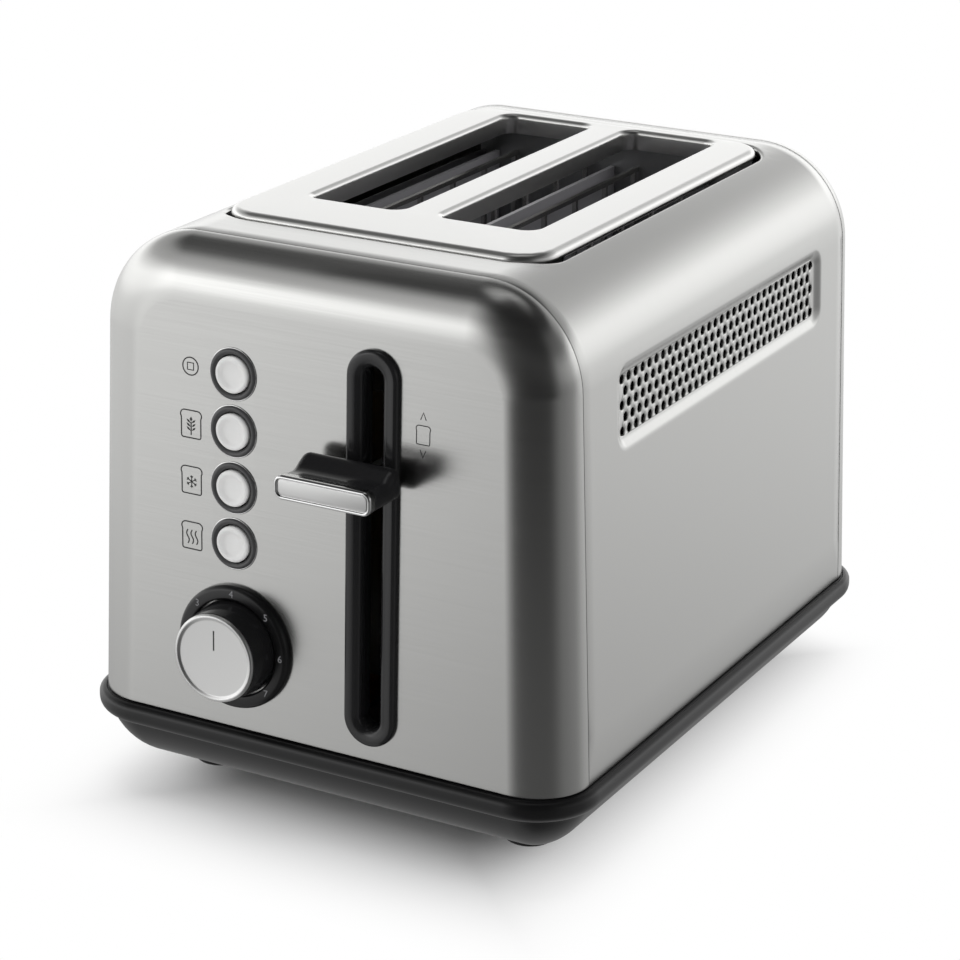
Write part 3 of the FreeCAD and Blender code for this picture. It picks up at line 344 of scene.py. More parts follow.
# Sheet metal worked with an abrasive: scratches or pits, as long each way as scale says, break up the gloss.
# With a tangent axis the scratches run round that axis, and smear a reflection across themselves.
def workedMetal(name, hexCode, scale, tangentAxis="", roughness=0.24, spread=0.09, bump=0.12):
    smear = 0.5 if tangentAxis else 0.0
    material, tree, shader = newMaterial(name, hexCode, Metallic=1.0, Anisotropic=smear)
    place = addNode(tree, "ShaderNodeTexCoord")
    stretch = addNode(tree, "ShaderNodeMapping", {"Scale": scale}, {"Vector": place.outputs["Object"]})
    scratches = addNode(tree, "ShaderNodeTexNoise", {"Scale": 1.0, "Detail": 3.0, "Roughness": 0.6},
                        {"Vector": stretch.outputs["Vector"]})
    dull = addNode(tree, "ShaderNodeMapRange",
                   {"To Min": roughness - spread / 2, "To Max": roughness + spread / 2},
                   {"Value": scratches.outputs["Fac"]})
    tree.links.new(dull.outputs["Result"], shader.inputs["Roughness"])
    addRelief(tree, shader, scratches.outputs["Fac"], bump, metalRelief)
    if tangentAxis:
        grain = addNode(tree, "ShaderNodeTangent", {"direction_type": "RADIAL", "axis": tangentAxis})
        tree.links.new(grain.outputs["Tangent"], shader.inputs["Tangent"])
    return material


# Injection-moulded plastic: the tool's fine spark-eroded texture breaks up its gloss
def mouldedPlastic(name, hexCode, roughness, grit=0.4, bump=0.05):
    material, tree, shader = newMaterial(name, hexCode, Roughness=roughness, IOR=1.5)
    place = addNode(tree, "ShaderNodeTexCoord")
    texture = addNode(tree, "ShaderNodeTexNoise", {"Scale": 1 / (grit * mm), "Detail": 2.0},
                      {"Vector": place.outputs["Object"]})
    addRelief(tree, shader, texture.outputs["Fac"], bump, plasticRelief)
    return material


def plain(name, hexCode, **settings):
    return newMaterial(name, hexCode, **settings)[0]


metalRelief, plasticRelief = 0.03 * mm, 0.05 * mm
grainSpacing = 0.5  # coarser than the real 0.05 mm, so that the drawn scratches show
grainLength = 60.0
fine, long = 1 / (grainSpacing * mm), 1 / (grainLength * mm)
# Stainless, belt-brushed level on the ends and along the cover: broad soft bands of light follow the bends
steelEnds = workedMetal("brushed_stainless_ends", "#CBCBC9", (long, long, fine), "Z")
steelCover = workedMetal("brushed_stainless_cover", "#CBCBC9", (long, fine, long), "Y")
# Stainless, bead-blasted: paler and even from every side, with only its rolled edges catching a line of light
satinPlate = workedMetal("bead_blasted_steel_plate", "#E6E6E4", (fine,) * 3, "", 0.30, 0.06, 0.05)
# Aluminium, blasted and anodised: silky, with no clear mirror image
satinMetal = workedMetal("satin_aluminium_trim", "#E8E8E7", (fine,) * 3, "", 0.4, 0.05, 0.05)
# Chromed trim, polished: thin bright and dark lines round the lever's front and the buttons
chromeTrim = plain("polished_chrome_trim", "#E6E6E6", Metallic=1.0, Roughness=0.12)
# Black plastics from a dull, a polished and a satin tool: a soft edge light, a clear one, and one between
baseBlack = mouldedPlastic("textured_black_polypropylene", "#0E0E0F", 0.34)
glossBlack = mouldedPlastic("polished_black_abs", "#1B1B1C", 0.16, bump=0.01)
knobBlack = mouldedPlastic("satin_black_abs", "#101011", 0.3, bump=0.02)
# Dark grey plastic, satin: sets the collars off from the steel
ringGrey = mouldedPlastic("dark_grey_abs", "#414142", 0.3, bump=0.03)
# Plastic under silver lacquer: as pale as the metal, but it mirrors nothing
buttonSilver = mouldedPlastic("silver_lacquered_abs", "#E0E0DF", 0.3, bump=0.02)
# Inks, screen-printed on the steel and pad-printed on the dial: flat and dull
printInk = plain("screen_print_ink", "#2C2C2C", Roughness=0.6)
dialInk = plain("pad_print_grey", "#8A8A8D", Roughness=0.6)
# Rubber, moulded: the dullest black
footRubber = mouldedPlastic("black_rubber", "#141414", 0.7)
# Inside, sheet with a zinc plating and drawn wire with a nickel one: dull grey walls behind brighter wires
zincSteel = plain("zinc_plated_sheet", "#A9AAAB", Metallic=1.0, Roughness=0.38)
wireSteel = plain("nickel_plated_wire", "#C9C8C4", Metallic=1.0, Roughness=0.25)
# Pressed mica flakes: a cloudy grey sheen
micaBoard = mouldedPlastic("mica_board", "#98979B", 0.3, grit=2.0, bump=0.2)
# The other works: oxidised, bare and enamelled metals, and cast or pressed plastics, seen only when opened
heatRibbon = plain("oxidised_heating_ribbon", "#4A4038", Metallic=1.0, Roughness=0.5)
coreIron = plain("bare_core_iron", "#6B6B6D", Metallic=1.0, Roughness=0.5)
copperWire = plain("enamelled_copper_wire", "#A5542A", Metallic=1.0, Roughness=0.35)
nylon = mouldedPlastic("natural_nylon", "#D8D2C2", 0.45)
circuitBoard = plain("phenolic_circuit_board", "#9A7B43", Roughness=0.5)
switchBlack = mouldedPlastic("black_nylon_mouldings", "#1E1E1E", 0.5)
terminalWhite = mouldedPlastic("white_terminal_polyamide", "#D9D9D4", 0.5)

finishes = {
    "brushed_steel": steelCover, "satin_plate": satinPlate, "satin_metal": satinMetal,
    "zinc_steel": zincSteel, "plated_wire": wireSteel, "black_plastic": baseBlack, "gloss_black": glossBlack,
    "ring_grey": ringGrey, "button_silver": buttonSilver, "foot_rubber": footRubber,
    "gland_rubber": footRubber, "mica_board": micaBoard, "heating_ribbon": heatRibbon, "core_iron": coreIron,
    "copper_winding": copperWire, "nylon": nylon, "circuit_board": circuitBoard,
    "switch_black": switchBlack, "terminal_white": terminalWhite,
}
for part in frame["record"]["subparts"]:
    mesh = nodes[part["node"]].data
    mesh.materials.clear()
    mesh.materials.append(finishes[part["material_slot"]])
print("finishes ready")


# The body's cross-section: a leaning side, a round shoulder and a flat top

sideLean, bend = body["sideLean"], body["shoulder"]
leanSine, leanCosine = math.sin(sideLean), math.cos(sideLean)
shoulderZ = body["top"] - body["bottom"] - bend
shoulderX = body["halfWidth"] - math.tan(sideLean) * shoulderZ - bend / leanCosine
sideLength = math.hypot(body["halfWidth"] - (shoulderX + bend * leanCosine), shoulderZ + bend * leanSine)
arcTurn = math.pi / 2 - sideLean
arcLength = bend * arcTurn
halfGirth = sideLength + arcLength + shoulderX


# A point of the outer cross-section by its girth, the way along it from the right foot;
# z is measured up from the steel's edge
def archPoint(girth):
    side = 1
    if girth > halfGirth:
        girth, side = 2 * halfGirth - girth, -1
    if girth <= sideLength:
        return side * (body["halfWidth"] - girth * leanSine), girth * leanCosine
    if girth <= sideLength + arcLength:
        turn = sideLean + (girth - sideLength) / bend
        return side * (shoulderX + bend * math.cos(turn)), shoulderZ + bend * math.sin(turn)
    return side * (shoulderX - (girth - sideLength - arcLength)), shoulderZ + bend


# The cross-section drawn in by inset, from the right foot over to the left
def archLine(inset, steps):
    right = [(body["halfWidth"] - inset / leanCosine, 0.0)]
    first, turn = math.degrees(sideLean), math.degrees(arcTurn)
    right += arcPoints(shoulderX, shoulderZ, bend - inset, first, turn, steps)
    return right + [(-x, z) for x, z in reversed(right)]


# Cover: one skin with the top opening, and a pressed recess with a field of round holes on each side

openingGap = 3.0
cover = {
    "start": steelLow.y,
    "end": steelHigh.y,
    "openingHalf": plateHigh.x + openingGap,
    "openingFront": plateLow.y - openingGap,
    "openingRear": plateHigh.y + openingGap,
    "openingCorner": 16.0,
    "openingEdge": 1.2,
    "openingLip": 3.6,
    "pitch": 5.0,
    "columns": 31,
    "rows": 5,
    "holeRadius": 1.7,
    "holeSides": 14,
    "topRow": 161.4,
    "middle": midY + 2.1,
    "marginEnd": 6.5,
    "marginTop": 6.0,
    "recessDepth": 1.7,
    "recessSlope": 4.4,
    "recessCorner": 7.0,
    "slopeSteps": 10,
    "bands": 40,
    "sideBands": 8,
    "topBands": 5,
    # rings of closer points round every edge keep the bends smooth up to it
    "closeRings": (0.5, 1.2, 2.1),
    "closeStep": 2.0,
    "closeReach": 2.6,
}
rowStep = cover["pitch"] * math.sqrt(3) / 2
fieldTop = cover["topRow"] - body["bottom"]
fieldLow = fieldTop - (cover["rows"] - 1) * rowStep
fieldHalf = cover["pitch"] * (cover["columns"] - 1) / 2


def recessLoop(shrink):
    reach = fieldHalf + cover["marginEnd"] - shrink
    low, high = fieldLow - cover["marginTop"] + shrink, fieldTop + cover["marginTop"] - shrink
    corner = cover["recessCorner"] - shrink
    return roundedLoop(cover["middle"] - reach, cover["middle"] + reach, low, high, corner, 8)


# The girth at which the top or shoulder has this x
def openingGirth(x):
    if abs(x) <= shoulderX:
        return halfGirth - x
    turn = math.acos(min(1.0, (abs(x) - shoulderX) / bend))
    girth = sideLength + (turn - sideLean) * bend
    return girth if x > 0 else 2 * halfGirth - girth


def openingLoop(shrink=0.0):
    half, corner = cover["openingHalf"] - shrink, cover["openingCorner"] - shrink
    return roundedLoop(-half, half, cover["openingFront"] + shrink, cover["openingRear"] - shrink, corner, 12)


def surface(girth, y, depth=0.0):
    x, z = archPoint(girth)
    if depth:
        sign = 1 if girth < halfGirth else -1
        x, z = x - sign * depth * leanCosine, z - depth * leanSine
    return x, y, body["bottom"] + z


def sideSurface(side, girth, y, depth):
    return surface(girth if side > 0 else 2 * halfGirth - girth, y, depth)


def ventHoles():
    holes = []
    for row in range(cover["rows"]):
        odd = row % 2
        for column in range(cover["columns"] - odd):
            y = cover["middle"] - fieldHalf + (column + odd / 2) * cover["pitch"]
            holes.append(circleLoop(y, fieldTop - row * rowStep, cover["holeRadius"], cover["holeSides"]))
    return holes


# The outer sheet as (girth, y) points, with its three openings left out
def coverSheet():
    girths = [sideLength * i / cover["sideBands"] for i in range(cover["sideBands"])]
    girths += [sideLength + arcLength * i / body["bendSteps"] for i in range(body["bendSteps"] + 1)]
    girths += [halfGirth - shoulderX * (1 - i / cover["topBands"]) for i in range(1, cover["topBands"])]
    girths += [halfGirth] + [2 * halfGirth - girth for girth in reversed(girths)]
    start, end, bands = cover["start"], cover["end"], cover["bands"]
    outline = [(girth, start) for girth in girths] + [(girth, end) for girth in reversed(girths)]
    openings = (lambda grow: [(girth, y) for y, girth in recessLoop(-grow)],
                lambda grow: [(2 * halfGirth - girth, y) for y, girth in recessLoop(-grow)],
                lambda grow: [(openingGirth(x), y) for x, y in openingLoop(-grow)])
    around = [opening(cover["closeReach"]) for opening in openings]
    dots = [(girth, start + (end - start) * i / bands) for girth in girths[1:-1] for i in range(1, bands)]
    dots = [dot for dot in dots if not any(insideLoop(dot, loop) for loop in around)]
    dots += [dot for opening in openings for grow in cover["closeRings"]
             for dot in spaced(opening(grow), cover["closeStep"])]
    points, triangles = fillFlat(outline, [opening(0.0) for opening in openings], dots)
    return [surface(girth, y) for girth, y in points], triangles


def makeCover():
    parts = [coverSheet()]
    edge = cover["openingEdge"]
    rolled = [(edge - inset, drop) for inset, drop in reversed(quarterTurn(edge))]
    rolled.append((edge, cover["openingLip"]))
    rings = [[(x, y, surface(openingGirth(outerX), y)[2] - drop)
              for (x, y), (outerX, _) in zip(openingLoop(inset), openingLoop())] for inset, drop in rolled]
    parts.append(sweep(rings))
    for side in (1, -1):
        rings = []
        for i in range(cover["slopeSteps"] + 1):
            share = i / cover["slopeSteps"]
            depth = cover["recessDepth"] * share * share * (3 - 2 * share)
            loop = recessLoop(cover["recessSlope"] * share)
            rings.append([sideSurface(side, girth, y, depth) for y, girth in loop])
        parts.append(sweep(rings))
        points, triangles = fillFlat(recessLoop(cover["recessSlope"]), ventHoles())
        depth = cover["recessDepth"]
        parts.append(([sideSurface(side, girth, y, depth) for y, girth in points], triangles))
    obj = showPiece("cover_skin", *joinMeshes(parts), steelCover)
    thicken(obj, body["wall"])
    evenNormals(obj)
    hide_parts("cover")


makeCover()
print("cover made")


# End panels: a flat leaning face that curves round to the seam

# Where the controls sit on the front; heights are above the table
controls = {
    "bezelX": 21.8, "bezelHalf": 9.5, "bezelLow": 38.8, "bezelHigh": 173.3, "slotHalf": 3.5,
    "slotMargin": 1.6, "buttonX": -31.0, "buttonTop": 156.3, "buttonStep": 19.3, "ringRadius": 8.65,
    "ringBore": 6.55, "ringSeat": 1.1, "dialX": -30.4, "dialZ": 62.6, "shaftHole": 3.5,
}
buttonNames = ("stop", "grain", "defrost", "reheat")
bezelLow, bezelHigh = controls["bezelLow"] - body["bottom"], controls["bezelHigh"] - body["bottom"]
dialX, dialZ = controls["dialX"], controls["dialZ"] - body["bottom"]


def buttonHeight(row):
    return controls["buttonTop"] - row * controls["buttonStep"] - body["bottom"]


def slotHole(grow):
    half = controls["slotHalf"] + controls["slotMargin"] + grow
    inset = controls["bezelHalf"] - half
    return stadiumLoop(controls["bezelX"], bezelLow + inset, bezelHigh - inset, half)


def buttonHole(row):
    radius = controls["ringBore"] + controls["ringSeat"]
    return lambda grow: circleLoop(controls["buttonX"], buttonHeight(row), radius + grow)


def dialHole(grow):
    return circleLoop(dialX, dialZ, controls["shaftHole"] + grow, 24)


def makeEnd(name, way, holes, replaced):
    sections = []
    for i in range(body["wrapSteps"] + 1):
        turn = math.pi / 2 * i / body["wrapSteps"]
        share, inset = math.sin(turn), body["endInset"] * (1 - math.cos(turn))
        lean = body["endLean"] * share
        y = midY - way * (seamY + body["endWrap"] * share)
        sections.append([(x, y + way * z * math.sin(lean), body["bottom"] + z * math.cos(lean))
                         for x, z in archLine(inset, body["archSteps"])])
    parts = [sweep(sections, closed=False)]
    lean, face, edge = body["endLean"], midY - way * (seamY + body["endWrap"]), body["holeEdge"]

    def onFace(loop, drop=0.0):
        return [(x, face + way * (z * math.sin(lean) + drop * math.cos(lean)),
                 body["bottom"] + z * math.cos(lean) - drop * math.sin(lean)) for x, z in loop]

    outline = archLine(body["endInset"], body["archSteps"])
    points, triangles = fillFlat(outline, [hole(edge) for hole in holes])
    parts.append((onFace(points), triangles))
    for hole in holes:
        rings = [onFace(hole(0.0), body["endWall"])]
        rings += [onFace(hole(inset), drop) for inset, drop in quarterTurn(edge, 4)]
        parts.append(sweep(rings))
    obj = showPiece(name, *joinMeshes(parts), steelEnds)
    evenNormals(obj)
    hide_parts(replaced)


frontHoles = [slotHole] + [buttonHole(row) for row in range(len(buttonNames))] + [dialHole]
makeEnd("front_panel_skin", 1, frontHoles, "front_panel")
makeEnd("rear_panel_skin", -1, [], "rear_panel")
print("end panels made")


# Top plate with rolled edges and turned-down slot lips

plate = {
    "edge": 2.4,
    "skirt": 3.1,
    "wall": 0.8,
    "corner": 13.0,
    "slotHalf": 18.0,
    "slotX": 25.0,
    "slotFront": plateLow.y + 29.0,
    "slotRear": plateHigh.y - 5.5,
    "slotCorner": 5.0,
    "lipEdge": 1.8,
}


def slotLoop(side, grow):
    x, half = side * plate["slotX"], plate["slotHalf"] + grow
    return roundedLoop(x - half, x + half, plate["slotFront"] - grow, plate["slotRear"] + grow,
                       plate["slotCorner"] + grow, 8)


def plateLoop(inset):
    return insetBox(plateLow, plateHigh, inset, plate["corner"] - inset, 12)


def makePlate():
    top, edge, lip = plateHigh.z, plate["edge"], plate["lipEdge"]
    points, triangles = fillFlat(plateLoop(edge), [slotLoop(side, lip) for side in (-1, 1)])
    parts = [([(x, y, top) for x, y in points], triangles)]
    rolled = [(0.0, top - plate["skirt"])] + [(inset, top - drop) for inset, drop in quarterTurn(edge)]
    parts.append(sweep(levelRings(plateLoop, rolled)))
    turned = [(0.0, plateLow.z)] + [(inset, top - drop) for inset, drop in quarterTurn(lip)]
    for side in (-1, 1):
        parts.append(sweep(levelRings(lambda grow: slotLoop(side, grow), turned)))
    obj = showPiece("top_plate_skin", *joinMeshes(parts), satinPlate)
    thicken(obj, plate["wall"])
    evenNormals(obj)
    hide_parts("top_plate")


makePlate()
print("top plate made")


# Base: a black rim with a rounded lip over a bowl that curves far under, on four short feet

base = {
    "corner": 23.0,
    "cornerFade": 0.94,   # how fast the corners tighten toward the middle
    "cornerLeast": 2.5,
    "top": 32.7,
    "rimEdge": 2.2,
    "rimSide": 29.2,      # height at which the lip starts to curve under
    "rimLow": 25.3,
    "rimUnder": 3.2,
    "neck": (0.3, 0.35),  # small step in and up between lip and bowl
    "groove": 0.45,       # fine groove beside the steel
    "grooveFar": 3.0,
    "grooveNear": 2.5,
    "grooveSlope": 0.1,
    "grooveLip": 0.04,
    "wellInset": 6.9,
    "wellRise": 1.2,
    "bowlRadius": 27.0,
    "bowlInset": 29.6,    # inset at which the bowl has reached its lowest level
    "bowlLow": 6.6,
    "wall": 0.6,
    "windowGap": 0.3,
    "windowGapLow": 0.2,
    "windowDepth": 12.0,
    "glandHole": 5.8,
    "cutPast": 5.0,
    "footRadius": 9.0,
    "footSunk": 0.8,
    "footProfile": ((-1.6, 0.0), (-0.7, 0.25), (-0.1, 0.8), (0.0, 1.4)),
    "screwRadius": 3.2,
    "screwProfile": ((2.6, 6.9), (3.1, 7.0), (3.1, 7.8), (1.5, 8.6)),
    "screwShank": 1.5,
    "trayDepth": 6.0,
    "trayEdge": 0.4,
}


def baseLoop(inset):
    corner = max(base["corner"] - base["cornerFade"] * inset, base["cornerLeast"])
    return insetBox(baseLow, baseHigh, inset, corner, 14)


# The bowl as (inset, z) pairs from the lip down to its lowest level
def bowlProfile(steps=14, wall=0.0):
    radius, centreInset = base["bowlRadius"] - wall, base["bowlInset"]
    centreZ = base["bowlLow"] + base["bowlRadius"]
    first = math.asin((centreZ - base["rimLow"]) / base["bowlRadius"])
    turns = [first + (math.pi / 2 - first) * i / steps for i in range(steps + 1)]
    return [(centreInset - radius * math.cos(turn), centreZ - radius * math.sin(turn)) for turn in turns]


def baseProfile():
    top, under, rimLow, groove = base["top"], base["rimUnder"], base["rimLow"], base["groove"]
    far, near, slope, well = base["grooveFar"], base["grooveNear"], base["grooveSlope"], base["wellInset"]
    neckIn, neckUp = base["neck"]
    profile = list(reversed(bowlProfile(8, base["wall"]))) + [(well, rimLow + base["wellRise"]), (well, top)]
    profile += [(far, top), (far - slope, top - groove), (near + slope, top - groove)]
    profile.append((near, top - base["grooveLip"]))
    profile += [(inset, top - drop) for inset, drop in reversed(quarterTurn(base["rimEdge"]))]
    curl = base["rimSide"] - rimLow
    profile += [(inset * under, rimLow + drop * curl) for inset, drop in quarterTurn(1.0, 8)]
    return profile + [(under + neckIn, rimLow + neckUp)] + bowlProfile()


def makeBase():
    rings = levelRings(baseLoop, baseProfile())
    obj = showPiece("base_shell", *closedSweep(rings), baseBlack)
    trayLow, trayHigh = boxOf("crumb_tray_front")
    gap, past = base["windowGap"], base["cutPast"]
    nearCorner = (trayLow.x - gap, trayLow.y - base["windowDepth"], trayLow.z - base["windowGapLow"])
    window = blockCutter(nearCorner, (trayHigh.x + gap, baseHigh.y + past, trayHigh.z + gap))
    glandLow, glandHigh = boxOf("cord_gland")
    glandX, glandZ = (glandLow.x + glandHigh.x) / 2, (glandLow.z + glandHigh.z) / 2
    circle = circleLoop(glandX, glandZ, base["glandHole"], 24)
    rings = [[(x, y, z) for x, z in circle] for y in (glandLow.y - past, baseHigh.y + past)]
    cutWith(obj, [window, makeCutter(*closedSweep(rings))])
    evenNormals(obj)
    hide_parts("base_tub")


# The same turned shape at the four corners of a box, with its axes a margin in from the sides
def fourCorners(low, high, margin, profile, steps):
    return joinMeshes([closedSweep(levelRings(upright(x, y, steps), profile))
                       for x in (low.x + margin, high.x - margin) for y in (low.y + margin, high.y - margin)])


def makeFeet():
    footLow, footHigh = boxOf("feet")
    radius = base["footRadius"]
    profile = fromEdge(radius, base["footProfile"]) + [(radius, base["bowlLow"] + base["footSunk"])]
    obj = showPiece("foot_pads", *fourCorners(footLow, footHigh, radius, profile, 40), footRubber)
    evenNormals(obj)
    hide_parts("feet")


# Countersunk heads just inside the bowl's floor
def makeScrews():
    screwLow, screwHigh = boxOf("base_screws")
    profile = [*base["screwProfile"], (base["screwShank"], screwHigh.z)]
    heads = fourCorners(screwLow, screwHigh, base["screwRadius"], profile, 24)
    obj = showPiece("screw_heads", *heads, zincSteel)
    evenNormals(obj)
    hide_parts("base_screws")


# The tray's front carries on the bowl's curve across its window
def makeTrayFront():
    trayLow, trayHigh = boxOf("crumb_tray_front")
    curve = [(baseHigh.y - inset, z) for inset, z in bowlProfile(40) if trayLow.z + 0.1 < z < trayHigh.z]
    curve = [(min(y, trayHigh.y), z) for y, z in curve]
    back = trayLow.y - base["trayDepth"]
    loop = curve + [(back, curve[-1][1]), (back, curve[0][1])]
    rings = [[(x, y, z) for y, z in loop] for x in (trayLow.x, trayHigh.x)]
    obj = showPiece("tray_front", *closedSweep(rings), baseBlack, rides="tray", smooth=False)
    softenEdges(obj, base["trayEdge"], angle=40)
    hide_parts("crumb_tray_front")


makeBase()
makeFeet()
makeScrews()
makeTrayFront()
print("base made")


# Slot bezel: a crowned black frame, its profile from the outer edge in to the slot

bezel = {
    "side": 0.7,
    "proud": 2.2,
    "crown": 1.5,
    "fall": ((-2.6, 0.0), (-1.4, 0.35), (-0.5, 1.1), (0.0, 2.4)),
    "liner": ((0.0, 5.0), (-1.5, 5.0), (-1.5, 1.2)),
}


def makeBezel():
    outer, rim = controls["bezelHalf"], controls["bezelHalf"] - controls["slotHalf"]
    side, proud = bezel["side"], bezel["proud"]
    profile = [(0.0, 0.0)]
    crown, rise = bezel["crown"], proud - side
    profile += [(inset * crown, (drop - 1) * rise - side) for inset, drop in quarterTurn(1.0)]
    profile += [(rim + inset, fall - proud) for inset, fall in bezel["fall"]]
    profile += fromEdge(rim, bezel["liner"])
    rings = [[(x, y, z) for x, z in
              stadiumLoop(controls["bezelX"], bezelLow + inset, bezelHigh - inset, outer - inset)]
             for inset, y in profile]
    obj = showPiece("bezel_frame", *panelSweep(rings), glossBlack)
    evenNormals(obj)
    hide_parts("slot_bezel")


makeBezel()


# Push buttons with their collars; profiles are (way out from a radius, y) pairs

buttons = {
    "radius": 6.2,
    "collarInner": ((0.0, 4.0), (0.0, -0.1), (0.25, -0.45), (0.9, -0.85)),
    "collarOuter": ((-0.7, -0.9), (-0.2, -0.65), (0.0, -0.2), (0.0, 0.0)),
    "rim": ((-0.05, 0.0), (-0.05, -0.22), (0.15, -0.3), (0.35, -0.15), (0.4, 0.0)),
    "cap": ((0.0, 3.0), (0.0, -0.9), (-0.15, -1.25), (-0.5, -1.52), (-0.9, -1.6), (-1.4, -1.5), (-1.9, -1.15),
            (-2.4, -0.8), (-3.0, -0.62), (-4.2, -0.55), (-5.9, -0.55)),
    "plunger": ((2.0, 3.0), (2.0, 9.7)),
}


def makeButtons():
    bore, outer, x = controls["ringBore"], controls["ringRadius"], controls["buttonX"]
    collar = fromEdge(bore, buttons["collarInner"]) + fromEdge(outer, buttons["collarOuter"])
    rim, cap = fromEdge(outer, buttons["rim"]), fromEdge(buttons["radius"], buttons["cap"])
    heights = [buttonHeight(row) for row in range(len(buttonNames))]
    obj = showPiece("button_collars", *joinMeshes([lathe(x, z, collar) for z in heights]), ringGrey)
    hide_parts("button_rings")
    obj = showPiece("button_rims", *joinMeshes([lathe(x, z, rim) for z in heights]), chromeTrim)
    for z, name in zip(heights, buttonNames):
        obj = showPiece(f"{name}_cap", *lathe(x, z, cap, capped=True), buttonSilver, rides=name)
        evenNormals(obj)
        plunger = lathe(x, z, buttons["plunger"], 16, True)
        stem = showPiece(f"{name}_plunger", *plunger, switchBlack, rides=name)
        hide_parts(f"{name}_button")
        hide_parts(f"{name}_button")


makeButtons()


# Browning dial: a fixed ring with numbers and a turning knob

dial = {
    "radius": 21.5,
    "gap": 0.4,
    "ringInner": ((0.0, 0.0), (0.0, -2.5), (0.3, -2.9), (0.8, -3.0)),
    "ringOuter": ((-1.6, -2.95), (-0.9, -2.7), (-0.35, -2.2), (-0.05, -1.5), (0.0, -1.0), (0.0, 0.0)),
    "knobRoot": 16.4,
    "knobRadius": 15.2,
    "knobReach": 14.0,
    "knobFoot": ((-13.4, -0.5), (-0.4, -0.5), (0.0, -0.9)),
    "knobEnd": ((0.1, 1.6), (-0.3, 1.4)),
    # the metal face: a rolled edge round a slightly sunk flat
    "face": ((-0.3, 1.4), (0.0, 1.2), (0.0, 0.7), (-0.3, 0.2), (-0.8, 0.0), (-1.3, 0.12), (-1.7, 0.45),
             (-2.2, 0.6), (-14.7, 0.6)),
    "markHalf": 0.25,
    "markLow": 2.7,
    "markHigh": 9.7,
    "markSurface": (0.7, 0.55),
    "numberRadius": 18.95,
    "numberSize": 3.5,
    "numberDepth": 0.03,
    "numberFace": -3.02,
    "numberStep": 45,
}


def makeDial():
    root, radius, reach = dial["knobRoot"], dial["knobRadius"], dial["knobReach"]
    ring = fromEdge(root + dial["gap"], dial["ringInner"]) + fromEdge(dial["radius"], dial["ringOuter"])
    obj = showPiece("dial_collar", *lathe(dialX, dialZ, ring, 96), knobBlack)
    evenNormals(obj)
    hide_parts("dial_ring")
    sides = fromEdge(root, dial["knobFoot"]) + [(radius + out, y - reach) for out, y in dial["knobEnd"]]
    obj = showPiece("knob_side", *lathe(dialX, dialZ, sides, 96, True), glossBlack, rides="knob")
    evenNormals(obj)
    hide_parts("knob_body")
    face = [(radius + out, y - reach) for out, y in dial["face"]]
    obj = showPiece("knob_face", *lathe(dialX, dialZ, face, 96, True), satinMetal, rides="knob")
    evenNormals(obj)
    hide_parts("knob_cap")
    left, right = dialX - dial["markHalf"], dialX + dial["markHalf"]
    low, high = dialZ + dial["markLow"], dialZ + dial["markHigh"]
    mark = [(left, low), (right, low), (right, high), (left, high)]
    rings = [[(x, y - reach, z) for x, z in mark] for y in dial["markSurface"]]
    line = panelSweep(rings, capped=True)
    obj = showPiece("knob_mark", *line, printInk, rides="knob", smooth=False)


makeDial()
print("controls made")


# Lever: a black bar with a hollow top whose rear edge rises to a ridge, and a metal-framed front

lever = {
    "x": 17.3,
    "z": 131.5,
    "halfWidth": 17.75,
    "halfHeight": 4.1,
    "corner": 3.0,
    "gripShrink": 0.15,
    "gripSteps": 12,
    "ridge": 2.4,
    "ridgeRun": 7.0,
    "ridgeTop": 1.6,     # flat top of the ridge before its rounded rear edge
    "ridgeCurve": 2.2,
    "rearEdge": 1.2,
    "hollow": 0.9,
    "hollowEnd": 0.75,   # share of the grip's depth at which the hollow ends
    "frame": ((0.0, 1.0), (0.12, 0.45), (0.4, 0.1), (0.7, 0.0), (1.0, 0.08), (1.2, 0.3), (1.3, 0.6)),
    "pad": ((1.3, 0.62), (1.4, 0.5), (1.75, 0.42)),
}


def leverRing(y, shrink, rise=0.0):
    halfW, halfH = lever["halfWidth"] - shrink, lever["halfHeight"] - shrink
    loop = roundedLoop(lever["x"] - halfW, lever["x"] + halfW, lever["z"] - halfH, lever["z"] + halfH + rise,
                       lever["corner"] - shrink, 8)
    return [(x, y, z) for x, z in loop]


def makeLever():
    leverHigh = boxOf("lever_body")[1]
    capLow, capHigh = boxOf("lever_cap")
    edge, shrink = lever["rearEdge"], lever["gripShrink"]
    rear = leverHigh.y - edge
    rings = []
    for i in range(lever["gripSteps"] + 1):
        share = i / lever["gripSteps"]
        y = capHigh.y + (rear - capHigh.y) * share
        climb = min(1.0, max(0.0, 1 - (rear - y - lever["ridgeTop"]) / lever["ridgeRun"]))
        dip = lever["hollow"] * math.sin(math.pi * min(1.0, share / lever["hollowEnd"]))
        rings.append(leverRing(y, shrink, lever["ridge"] * climb ** lever["ridgeCurve"] - dip))
    for inset, drop in quarterTurn(edge, 3)[1:]:
        rings.append(leverRing(leverHigh.y - drop, shrink + inset, lever["ridge"]))
    obj = showPiece("lever_grip", *closedSweep(rings), glossBlack, rides="carriage")
    evenNormals(obj)
    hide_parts("lever_body")
    rings = [leverRing(capHigh.y, 0.0)] + [leverRing(capLow.y + y, inset) for inset, y in lever["frame"]]
    obj = showPiece("lever_frame", *closedSweep(rings), chromeTrim, rides="carriage")
    evenNormals(obj)
    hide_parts("lever_cap")
    rings = [leverRing(capLow.y + y, inset) for inset, y in lever["pad"]]
    obj = showPiece("lever_pad", *closedSweep(rings), satinMetal, rides="carriage")


makeLever()
print("lever made")


# Small printed symbols on the front, and numbers round the dial

